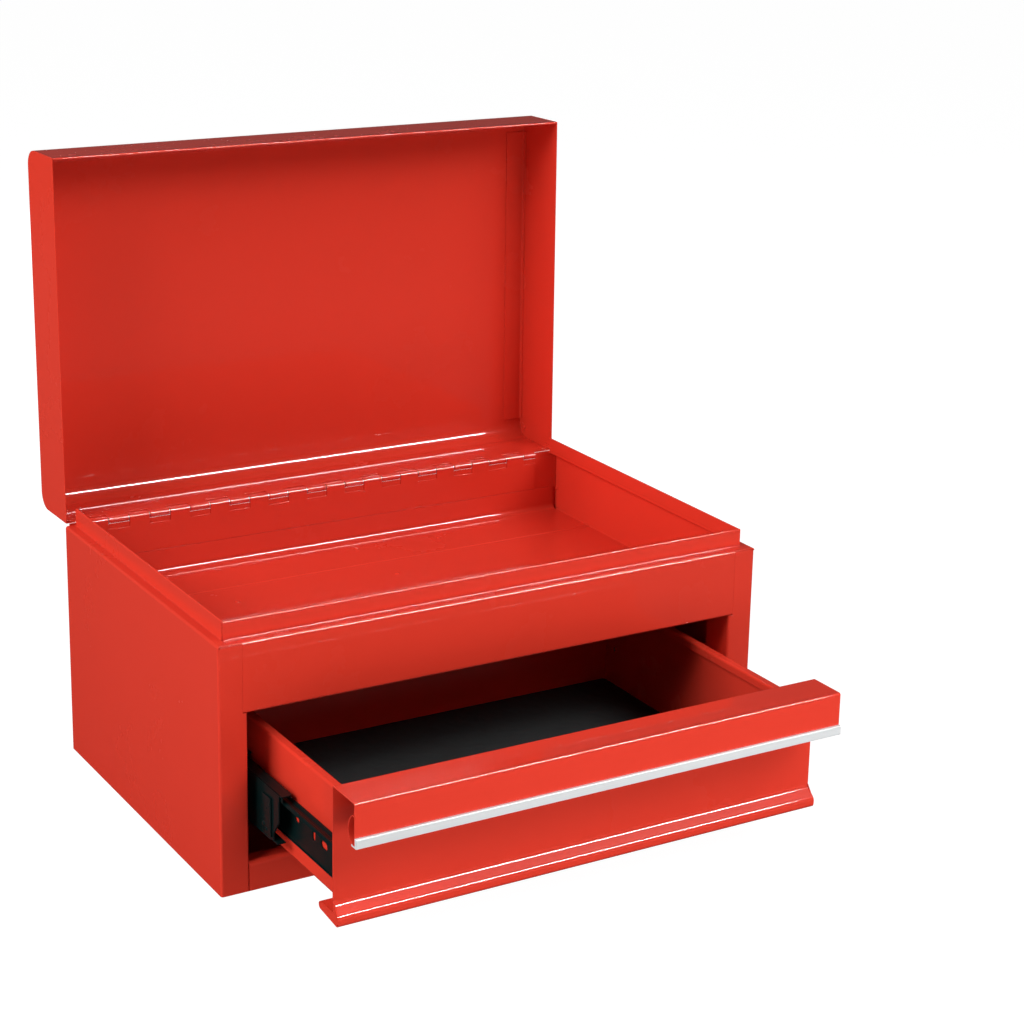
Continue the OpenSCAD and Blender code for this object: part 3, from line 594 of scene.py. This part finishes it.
# %% Cabinet sides
FRONT, BACK, HALF = -168.0, 168.0, 260.0
OPEN_X, SEAM_X, OPEN_TOP, RIM = 235.0, 239.0, 156.5, 217.0
OUT_R, BEND_R = 2.2, 1.2
UPSTAND_Y, UPSTAND, HEM = (-155.4, 165.5), 13.8, 11.0
RETURN, LEDGE, LEDGE_END = 30.8, 5.6, 1.1


def cabinet_side(name, side):
    """One side panel, drawn on the left."""
    bm = bmesh.new()
    corner_z = RIM - OUT_R
    ys, zs = (FRONT + OUT_R, *UPSTAND_Y, BACK), (0.0, SHEET, OPEN_TOP, corner_z)
    rows = [[bm.verts.new((-HALF, y, z)) for y in ys] for z in zs]
    for low, high in zip(rows, rows[1:]):
        for k in range(3):
            bm.faces.new((low[k], high[k], high[k + 1], low[k + 1]))
    front = edges_where(bm, lambda p: near(p.y, ys[0]))
    stile = fold(bm, front, -Y, Z, 1, [(0, 90, BEND_R), (HALF - OUT_R - SEAM_X, 0, 0)])
    lower = [e for e in stile if max(v.co.z for v in e.verts) < OPEN_TOP + 1]
    lower = fold(bm, lower, X, Z, 1, [(SEAM_X - OPEN_X - OUT_R, 0, 0)])
    sill = [e for e in lower if max(v.co.z for v in e.verts) < SHEET + 0.1]
    run(bm, sill, X * OUT_R)
    fold(bm, [e for e in lower if e not in sill], X, Z, 1, [(0, 90, BEND_R), (RETURN, 0, 0)])
    brow = edges_where(bm, lambda p: near(p.y, FRONT) and near(p.z, corner_z)
                       and p.x > -HALF + 2)
    run(bm, brow, Z * BEND_R)
    top = edges_where(bm, lambda p: near(p.x, -HALF) and near(p.z, corner_z))
    top += chain(bm, [(-HALF, FRONT, corner_z), (-HALF, FRONT + OUT_R, corner_z)])
    ledge = fold(bm, top, Z, Y, 1, [(0, 90, BEND_R), (LEDGE, 0, 0)])
    middle = [e for e in ledge
              if all(UPSTAND_Y[0] - 0.1 < v.co.y < UPSTAND_Y[1] + 0.1 for v in e.verts)]
    fold(bm, middle, X, Y, 1, [(0, -90, BEND_R), (UPSTAND, 180, 0), (HEM, 0, 0)])
    run(bm, [e for e in ledge if e not in middle], X * LEDGE_END)
    flip(bm, side)
    piece(f"{name}_side", bm, "cabinet", [f"{name}_side_panel"],
          outward=(side, 0, 0), thickness=HEMMED)


for name, side in SIDES:
    cabinet_side(name, side)

# %% [markdown]
# The till's front wall starts as a flange above the drawer opening, rises up the front, and turns
# back for the ledge before its own hemmed upstand. Beyond the seams only the ledge goes on, out
# to the sides' ledges. Below the drawer a short rail joins the sides.

# %% Till front
FLANGE_Y, FLANGE, FRONT_LEDGE, EAR_X = -154, 11.8, 6.6, 250.9

bm = bmesh.new()
wall = fold(bm, chain(bm, [(-SEAM_X, FLANGE_Y, OPEN_TOP), (SEAM_X, FLANGE_Y, OPEN_TOP)]), -Y, X,
            -1, [(FLANGE, -90, BEND_R), (RIM - OPEN_TOP - 2 * OUT_R, -90, BEND_R)])
for name, side in SIDES:
    ear = chain(bm, [(side * SEAM_X, FRONT, RIM), (side * EAR_X, FRONT, RIM)])
    wall += run(bm, ear, Y * OUT_R)
fold(bm, wall, Y, X, -1, [(FRONT_LEDGE, 90, BEND_R), (UPSTAND, -180, 0), (HEM, 0, 0)])
piece("front_wall", bm, "cabinet", ["till_front"], outward=(0, -1, 0), thickness=HEMMED)

# %% Bottom rail
RAIL_FACE, RAIL_R, RAIL_SHELF, RAIL_LIP = 22, 3, 9.8, 8

bm = bmesh.new()
fold(bm, chain(bm, [(-OPEN_X, FRONT, 0), (OPEN_X, FRONT, 0)]), Z, X, -1,
     [(RAIL_FACE, -90, RAIL_R), (RAIL_SHELF, -90, BEND_R), (RAIL_LIP, 0, 0)])
piece("bottom_rail", bm, "cabinet", ["bottom_front_rail"], outward=(0, -1, 0), thickness=SHEET)

# %% [markdown]
# The till is a tray with tall sides. Its floor is the middle face, and the front lip, the side
# walls and the rear wall are folded up from that face's edges. The welds of a hidden cross member
# pull a fine crease into the floor, which is raised here by half a millimetre.

# %% Till tray
TILL_FLOOR, CREASE_Y, CREASE_HALF, CREASE_RISE = 158.5, 99.6, 0.4, 0.5
TILL_X, TILL_FRONT, TILL_REAR = 258 - OUT_R, -167 + OUT_R, 161.0
FRONT_LIP, REAR_WALL, REAR_R, SIDE_WALL = 11.8, 17.8, 5, 56.0

bm = bmesh.new()
underside = TILL_FLOOR - SHEET
row_places = (TILL_FRONT, CREASE_Y - CREASE_HALF, CREASE_Y, CREASE_Y + CREASE_HALF, TILL_REAR)
rows = [[bm.verts.new((x, y, underside)) for x in (-TILL_X, TILL_X)] for y in row_places]
for near_row, far_row in zip(rows, rows[1:]):
    bm.faces.new((near_row[0], near_row[1], far_row[1], far_row[0]))
fold(bm, edges_where(bm, lambda p: near(p.y, TILL_FRONT)), -Y, X, -1,
     [(0, -90, BEND_R), (FRONT_LIP, 0, 0)])
fold(bm, edges_where(bm, lambda p: near(p.y, TILL_REAR)), Y, X, 1,
     [(0, 90, REAR_R), (REAR_WALL, 0, 0)])
for name, side in SIDES:
    rim = edges_where(bm, lambda p: near(p.x, side * TILL_X) and near(p.z, underside)
                      and TILL_FRONT - 0.1 < p.y < TILL_REAR + 0.1)
    fold(bm, rim, X * side, Y, -side, [(0, -90 * side, BEND_R), (SIDE_WALL, 0, 0)])
for vert in rows[2]:
    vert.co.z += CREASE_RISE
piece("till", bm, "cabinet", ["till_tray"], outward=(0, 0, -1), thickness=SHEET)

# %% [markdown]
# The rear panel is a closed bar one sheet thick, with its top edge leaning in a little. A tab
# stands up at each end, beside the hinge, and a flange runs forward inside each side panel.

# %% Rear panel
PANEL_FOOT, PANEL_TOP, TAB_TOP = 1.0, (212.7, 213.3), 219
TAB_IN, TAB_OUT, PANEL_X = 234.3, 256.6, 259.0
FLANGE_FRONT, FLANGE_FOOT, FLANGE_TOP = 152, 2, 149.3

bm = bmesh.new()
bar(bm, [(BACK, PANEL_FOOT), (BACK, PANEL_TOP[0]), (BACK - SHEET, PANEL_TOP[1]),
         (BACK - SHEET, PANEL_FOOT)], (-PANEL_X, -TAB_OUT, -TAB_IN, TAB_IN, TAB_OUT, PANEL_X))
middles = {face: face.calc_center_median() for face in bm.faces}
tabs = [face for face, middle in middles.items()
        if middle.z > PANEL_TOP[0] + 0.2 and TAB_IN < abs(middle.x) < TAB_OUT]
for tab in tabs:
    for vert in push(bm, tab, Z * 6).verts:
        vert.co.z = TAB_TOP
for name, side in SIDES:
    inner, outer = sorted((side * PANEL_X, side * (PANEL_X - SHEET)))
    block(bm, (inner, FLANGE_FRONT, FLANGE_FOOT), (outer, BACK - SHEET, FLANGE_TOP))
piece("back_panel", bm, "cabinet", ["rear_panel"])

# %% [markdown]
# The hinge is a piano hinge: two leaves whose tabs are rolled round one long pin, turn and turn
# about. Each leaf is again one edge, cut into the lengths of the knuckles. The whole row is
# extruded as the flat leaf, and then every second length is rolled on round the pin.

# %% Piano hinge
HINGE_X, FIRST, PITCH, GAP, NOTCH = 234.0, 14.5, 20.0, 0.8, 7.8
KNUCKLE_R, LEAF_Y, LEAF_T, ROLL = 3.2, 166.0, 0.95, 300

cuts = [-HINGE_X]
while cuts[-1] < HINGE_X - 0.1:
    cuts.append(min(-HINGE_X + FIRST + (len(cuts) - 1) * PITCH, HINGE_X))


def hinge_leaf(name, width, first_tab, up, body, node_name):
    """A leaf on the lower or upper side of the pin, with its own knuckles rolled round it."""
    bm = bmesh.new()
    marks = [-HINGE_X]
    for cut in cuts[1:-1]:
        marks += [cut - GAP / 2, cut + GAP / 2]
    marks.append(HINGE_X)
    row = chain(bm, [(x, LEAF_Y, PIN_Z + up * width) for x in marks])
    row = run(bm, row, Z * -up * (width - NOTCH))
    row.sort(key=lambda e: min(v.co.x for v in e.verts))
    tabs = [e for e in row if e.calc_length() > 1][first_tab::2]
    fold(bm, tabs, Z * -up, X, up, [(NOTCH, up * ROLL, KNUCKLE_R - 1)])
    piece(name, bm, body, [node_name], outward=(0, -1, 0), thickness=LEAF_T, edge=0.16)


hinge_leaf("hinge_leaf_body", 34.5, 0, -1, "cabinet", "hinge_body_leaf")
hinge_leaf("hinge_leaf_lid", 36.5, 1, 1, "lid", "hinge_lid_leaf")

# %% [markdown]
# The lid's front, top and back are one wide sheet with two generous bends. A narrow hem is folded
# inside its front edge. A separate cap closes each end: a flat plate with the lid's outline, and
# three strips of flange that lie inside the lid's top, front and rear.

# %% Lid
LID_X, LID_Y, LID_Z, LID_H, LID_R = 257.5, -164.0, 220.3, 62.5, 15.0
LID_SPAN, LID_DROP = BACK - LID_Y - 2 * LID_R, LID_H - LID_R
SHEET_X, HEM_Z, CORNER_R = 256.4, 12, LID_R - SHEET
STRIP_T, STRIP_R = 0.95, 1.0

bm = bmesh.new()
hem = [(x, LID_Y + 2, LID_Z + HEM_Z) for x in (-SHEET_X, SHEET_X)]
fold(bm, chain(bm, hem), -Z, X, -1,
     [(HEM_Z - 1, -180, 0), (LID_DROP - 1, -90, CORNER_R), (LID_SPAN, -90, CORNER_R),
      (LID_DROP, 0, 0)])
piece("lid_sheet", bm, "lid", ["lid_shell"], outward=(0, 0, 1), thickness=HEMMED)


def lid_cap(name, side):
    """A cap's plate and its three flanges, drawn on the left."""
    inside, top = -LID_X + SHEET, LID_Z + LID_H - SHEET
    bm = bmesh.new()
    first = chain(bm, [(-LID_X, LID_Y, LID_Z), (inside, LID_Y, LID_Z)])
    last = fold(bm, first, Z, X, -1,
                [(LID_DROP, -90, CORNER_R), (LID_SPAN, -90, CORNER_R), (LID_DROP, 0, 0)])
    across = []
    for x in (-LID_X, inside):
        ends = [v for v in (*first[0].verts, *last[0].verts) if near(v.co.x, x)]
        across.append(bm.edges.new(ends))
        bmesh.ops.contextual_create(bm, geom=edges_where(bm, lambda p: near(p.x, x)))
    bmesh.ops.contextual_create(bm, geom=first + last + across)
    flip(bm, side)
    piece(f"lid_cap_{name}", bm, "lid", [f"lid_end_cap_{name}"], edge=0.45, segments=3)
    for label, ends, heading, axis, turn, width, outward in (
            ("top", [(inside, -147, top - 4), (inside, 149, top - 4)], Z, Y, 90, 18, (0, 0, 1)),
            ("front", [(inside, LID_Y + 5, 232.6), (inside, LID_Y + 5, 265)], -Y, Z, 90, 18,
             (0, -1, 0)),
            ("rear", [(inside, BACK - 5, 222.8), (inside, BACK - 5, 231.8)], Y, Z, -90, 7,
             (0, 1, 0))):
        bm = bmesh.new()
        fold(bm, chain(bm, ends), heading, axis, turn // 90, [(2, turn, STRIP_R), (width, 0, 0)])
        flip(bm, side)
        piece(f"lid_flange_{label}_{name}", bm, "lid", outward=outward, thickness=STRIP_T)


for name, side in SIDES:
    lid_cap(name, side)

# %% [markdown]
# The drawer front is one long sheet seen from the side: up the skirt, back over the finger
# recess, down the panel, and out through an S-bend into a rounded foot. The lengths between the
# bends of the foot are worked out so that the sheet comes to rest under the drawer box.

# %% Drawer front
FRONT_X, SKIRT_Y, SKIRT_Z = 227.0, -171.5, 112.0
FRONT_TOP, FOOT_Z, BOX_Z = 146.8, 31.5, 41.0
SLOPE, SHOULDER_R, LIP_R, FOOT_R, RISE = 48.0, 6.0, 4.0, 3.2, 6.0
PROUD, DEPTH, SKIRT_RUN, RECESS_RUN, SKIRT_R, FACE_T = 9.5, 34.5, 32.8, 32.8, 1.0, 0.95


def sine(degrees):
    return math.sin(math.radians(degrees))


def cosine(degrees):
    return math.cos(math.radians(degrees))


s_bend = SHOULDER_R + SHEET + LIP_R
slant = (PROUD - s_bend * (1 - cosine(SLOPE))) / sine(SLOPE)
fall = s_bend * sine(SLOPE) + slant * cosine(SLOPE)
lip_z = FOOT_Z + SHEET + FOOT_R + 2
climb = sine(RISE) / cosine(RISE)
reach = DEPTH - 2 * SHEET - FOOT_R * (1 + sine(RISE))
gain = BOX_Z - FOOT_Z - 2 * SHEET - FOOT_R * (1 - cosine(RISE))
nose = (gain - reach * climb) / (1 + cosine(RISE) - climb * (1 - sine(RISE)))
under = (reach - nose * (1 - sine(RISE))) / cosine(RISE)
bm = bmesh.new()
fold(bm, chain(bm, [(-FRONT_X, SKIRT_Y, SKIRT_Z), (FRONT_X, SKIRT_Y, SKIRT_Z)]), Z, X, -1,
     [(SKIRT_RUN, -90, SKIRT_R), (RECESS_RUN, -90, BEND_R),
      (FRONT_TOP - OUT_R - lip_z - fall, -SLOPE, SHOULDER_R), (slant, SLOPE, LIP_R),
      (2, 90 + RISE, FOOT_R), (under, 180 - RISE, nose), (DEPTH - PROUD - nose - 2, 0, 0)])
piece("drawer_face", bm, "drawer", ["drawer_front"], outward=(0, 1, 0), thickness=FACE_T)
print("foot rolls at", round(nose, 2), "mm and rests for", round(under, 2), "mm")

# %% [markdown]
# Behind the skirt the sheet's edge is rolled back as a slim teardrop, seen from the end. The foot
# is closed at each end by a small plate with the foot's own outline.

# %% Skirt return and foot ends
TEARDROP = ((-171.1, 134.6), (-168.2, 136.0), (-164.2, 132.3), (-161.3, 126.4), (-160.9, 121.1),
            (-162.5, 116.7), (-165.4, 113.6), (-170.4, 112.3))
FOOT_END = ((-135, 51.5), (-144.5, 39), (-144.5, 35.5), (-141, 32), (-114.6, 34.9),
            (-111.9, 36.8), (-111.9, 38.6), (-114, 40.5), (-135, 40.5))

bm = bmesh.new()
run(bm, chain(bm, [(-FRONT_X, y, z) for y, z in TEARDROP]), X * 2 * FRONT_X)
round_off(bm, inner_edges(bm), 1.5, 4)
piece("skirt_return", bm, "drawer", outward=(0, 1, 0.5), thickness=0.8)

for name, side in SIDES:
    bm = bmesh.new()
    bm.faces.new([bm.verts.new((-FRONT_X + 0.15, y, z)) for y, z in FOOT_END])
    flip(bm, side)
    piece(f"foot_end_{name}", bm, "drawer", outward=(side, 0, 0), thickness=0.9)

# %% [markdown]
# The bright strip is a drawn section with rounded corners, and a thin lip that goes under the
# skirt. Its profile is one face, extruded along the drawer's width and then bevelled.

# %% Trim strip
TRIM_T, TRIM_H, TRIM_LIP, TRIM_LIP_T = 3.0, 8.1, 5.5, 1.5

bm = bmesh.new()
z0, y0 = SKIRT_Z - 0.1 - TRIM_LIP_T, SKIRT_Y - TRIM_T
bar(bm, [(y0, z0), (y0 + TRIM_T + TRIM_LIP, z0), (y0 + TRIM_T + TRIM_LIP, z0 + TRIM_LIP_T),
         (y0 + TRIM_T, z0 + TRIM_LIP_T), (y0 + TRIM_T, z0 + TRIM_H), (y0, z0 + TRIM_H)],
    (-FRONT_X, FRONT_X))
corners = [e for e in bm.edges
           if e.calc_length() > FRONT_X and all(near(v.co.y, y0) for v in e.verts)]
round_off(bm, corners, 0.9, 5)
piece("trim_strip", bm, "drawer", ["drawer_trim"], slot="trim_aluminium", edge=0.15)

# %% [markdown]
# The drawer box is a single sheet again: hem, side, floor, side, hem. Its back is a plate with a
# small flange.

# %% Drawer box
BOX_X, BOX_TOP, BOX_BACK, PANEL = 213.5, 132.5, 163.0, -134.5
BOX_HEM, HEM_LIP, WALL, ACROSS = 9, 5, 87.1, 4.6
BACK_LOW, BACK_X, FLANGE_LOW, FLANGE_X, BACK_FLANGE = 42.3, 212.3, 123, 204.2, 6.6

bm = bmesh.new()
start_z = BOX_TOP - OUT_R - HEM_LIP
fold(bm, chain(bm, [(BOX_X - BOX_HEM, y, start_z) for y in (PANEL, BOX_BACK)]), Z, Y, 1,
     [(HEM_LIP, 90, BEND_R), (ACROSS, 90, BEND_R), (WALL, 90, BEND_R),
      (2 * BOX_X - 2 * OUT_R, 90, BEND_R), (WALL, 90, BEND_R), (ACROSS, 90, BEND_R),
      (HEM_LIP, 0, 0)])
piece("drawer_box", bm, "drawer", ["drawer_tray"], outward=(0, 0, -1), thickness=SHEET)

bm = bmesh.new()
fold(bm, chain(bm, [(x, BOX_BACK, BACK_LOW) for x in (-BACK_X, BACK_X)]), Z, X, 1,
     [(BOX_TOP - BACK_LOW - BOX_HEM, 0, 0)])
piece("drawer_rear", bm, "drawer", ["drawer_back"], outward=(0, 1, 0), thickness=SHEET)

bm = bmesh.new()
fold(bm, chain(bm, [(x, BOX_BACK, FLANGE_LOW) for x in (-FLANGE_X, FLANGE_X)]), Z, X, 1,
     [(BOX_TOP - FLANGE_LOW - OUT_R, 90, BEND_R), (BACK_FLANGE, 0, 0)])
piece("drawer_rear_flange", bm, "drawer", outward=(0, 1, 0), thickness=SHEET)

# %% [markdown]
# The liner mat lies loose on the drawer's floor, a little smaller all round, with rounded corners.

# %% Liner mat
MAT_X, MAT_LOW, MAT_TOP, MAT_GAP = BOX_X - 2.6, 42.05, 43.5, 1.2

bm = bmesh.new()
block(bm, (-MAT_X, PANEL + MAT_GAP, MAT_LOW), (MAT_X, BOX_BACK - MAT_GAP, MAT_TOP))
upright_edges = [e for e in bm.edges if near(e.verts[0].co.x, e.verts[1].co.x)
                 and near(e.verts[0].co.y, e.verts[1].co.y)]
round_off(bm, upright_edges, 4, 6)
piece("liner_mat", bm, "drawer", ["drawer_mat"], slot="black_mat", edge=0.4)

# %% [markdown]
# The two members of each slide that show when the drawer is out are pressed steel too. The drawer
# member is a web with round and slotted holes, a ball race rolled along its top and a turned lower
# edge.

# %% Drawer members
SLIDE_X, SLIDE_END, MEMBER_FRONT = -233.0, 160.0, -134.4
WEB_X, WEB_LOW, WEB_TOP = -213.6, 56.8, 93.6
WEB_HOLES = ((-47.3, 79.4, 3.8, 2.7), (-77.5, 78.3, 2.5, 4.6), (-95.5, 77.3, 5.6, 3.3),
             (20.0, 78.0, 4.0, 2.3), (105.0, 78.0, 2.3, 4.0))
RACE = ((WEB_X, WEB_TOP - 0.4), (-215.2, WEB_TOP), (-216.6, WEB_TOP - 1.5),
        (-219.0, WEB_TOP - 1.5), (-220.4, WEB_TOP), (-222.6, WEB_TOP), (-223.6, WEB_TOP - 2.6))
LOWER_EDGE = ((WEB_X, WEB_LOW + 0.6), (-215.6, WEB_LOW))


def ring(bm, y, z, half_y, half_z):
    """A round or slotted hole's edge in the plane of the drawer member's web."""
    radius = min(half_y, half_z)
    turn = Matrix.Translation((WEB_X, y, z)) @ Matrix.Rotation(math.radians(90), 4, "Y")
    verts = bmesh.ops.create_circle(bm, segments=24, radius=radius, matrix=turn)["verts"]
    for vert in verts:
        vert.co.y += math.copysign(half_y - radius, vert.co.y - y)
        vert.co.z += math.copysign(half_z - radius, vert.co.z - z)


for name, side in SIDES:
    bm = bmesh.new()
    corners = [(MEMBER_FRONT, WEB_LOW), (SLIDE_END, WEB_LOW), (SLIDE_END, WEB_TOP),
               (MEMBER_FRONT, WEB_TOP)]
    verts = [bm.verts.new((WEB_X, y, z)) for y, z in corners]
    for pair in zip(verts, verts[1:] + verts[:1]):
        bm.edges.new(pair)
    for hole in WEB_HOLES:
        ring(bm, *hole)
    bmesh.ops.triangle_fill(bm, edges=bm.edges, use_beauty=True, use_dissolve=False,
                            normal=(1, 0, 0))
    flip(bm, side)
    piece(f"drawer_member_{name}", bm, "drawer", [f"slide_inner_{name}"], slot="black_slide",
          outward=(-side, 0, 0), thickness=1.2, edge=0.25)
    for label, shape, outward in (("race", RACE, (0, 0, 1)),
                                  ("lower_edge", LOWER_EDGE, (0, 0, -1))):
        bm = bmesh.new()
        run(bm, chain(bm, [(x, MEMBER_FRONT, z) for x, z in shape]), Y * (SLIDE_END - MEMBER_FRONT))
        if inner_edges(bm):
            round_off(bm, inner_edges(bm), 0.6, 3)
        flip(bm, side)
        piece(f"drawer_member_{label}_{name}", bm, "drawer", slot="black_slide",
              outward=outward, thickness=1.1, edge=0.2)

# %% [markdown]
# The middle member's web is cut back in a curve at the front. A lip along its top, with a rounded
# front corner, and narrow ledges inside it hold the balls. The web carries a moulded stop on its
# outer face, with a few soft lumps, and a thin bumper on its inner face.

# %% Middle members
WEB_OUT, WEB_IN, LIP_X = SLIDE_X + 5.5, SLIDE_X + 7.0, SLIDE_X + 15.5
LIP_FRONT, MIDDLE_TOP = -130, 100.5
MIDDLE_WEB = ((-126, MIDDLE_TOP), (-124, 92.6), (-124.4, 84), (-124.2, 75.6), (-118.6, 68.8),
              (-113.8, 61.5), (-114.6, 57.2), (-108, 54.5), (SLIDE_END, 54.5),
              (SLIDE_END, MIDDLE_TOP))
LUMPS = ((-109.5, 86.5, 1.3), (-104.5, 81.0, 1.3), (-98.5, 65.5, 2.6), (-104.0, 62.5, 2.2),
         (-100.0, 71.0, 1.6))

for name, side in SIDES:
    bm = bmesh.new()
    bar(bm, MIDDLE_WEB, (WEB_OUT, WEB_IN))
    lip = block(bm, (WEB_OUT, LIP_FRONT, 99.2), (LIP_X, SLIDE_END, MIDDLE_TOP))
    corner = [e for e in bm.edges
              if all(v in lip and near(v.co.y, LIP_FRONT) and near(v.co.x, LIP_X)
                     for v in e.verts)]
    round_off(bm, corner, 3.5, 5)
    block(bm, (SLIDE_X + 14.2, -126, 96.8), (LIP_X, SLIDE_END, 99.8))
    block(bm, (SLIDE_X + 5.8, -121, 55.2), (SLIDE_X + 13.5, SLIDE_END, 56.5))
    flip(bm, side)
    piece(f"middle_member_{name}", bm, f"middle_{name}", [f"slide_middle_{name}"],
          slot="black_slide", edge=0.4, segments=3)
    bm = bmesh.new()
    block(bm, (SLIDE_X + 4.0, -112, 58.5), (WEB_OUT, -96, 92))
    block(bm, (WEB_IN, -128.5, 94.0), (WEB_IN + 0.5, -123.5, 99.0))
    round_off(bm, bm.edges[:], 0.5, 3)
    for y, z, radius in LUMPS:
        squash = Matrix.Translation((SLIDE_X + 4.2, y, z)) @ Matrix.Diagonal((0.45, 1, 1, 1))
        bmesh.ops.create_uvsphere(bm, u_segments=16, v_segments=10, radius=radius, matrix=squash)
    flip(bm, side)
    piece(f"slide_stop_{name}", bm, f"middle_{name}", slot="black_slide", edge=0)

# %% [markdown]
# Spot welds hold the cross members under the till's floor and one corner of its wall, and a rivet
# holds each cap in the lid. Each one shows as a shallow round mark with a soft rim.

# %% Spot welds and rivets
def round_marks(name, body, places, facing, radius, height):
    """Low round bumps at several places, all facing one way."""
    bm = bmesh.new()
    turn = Vector(facing).to_track_quat("Z", "Y").to_matrix().to_4x4()
    squash = Matrix.Diagonal((1, 1, height / radius, 1))
    for place in places:
        bmesh.ops.create_uvsphere(bm, u_segments=20, v_segments=12, radius=radius,
                                  matrix=Matrix.Translation(place) @ turn @ squash)
    piece(name, bm, body, edge=0)


TILL_WELDS = ((-139.6, 63.0), (22.4, 62.7), (106.5, 136.0), (20.9, 143.5))
RIVET_X, RIVET_Y, RIVET_Z = LID_X - 1.2, 157.5, 273.6
round_marks("till_welds", "cabinet", [(x, y, TILL_FLOOR) for x, y in TILL_WELDS], Z, 2.4, 1.1)
round_marks("wall_welds", "cabinet", [(257, 161.5, 180)], X, 1.8, 1.2)
round_marks("cap_rivets", "lid", [(x, RIVET_Y, RIVET_Z) for x in (-RIVET_X, RIVET_X)], X, 2.6, 1.3)
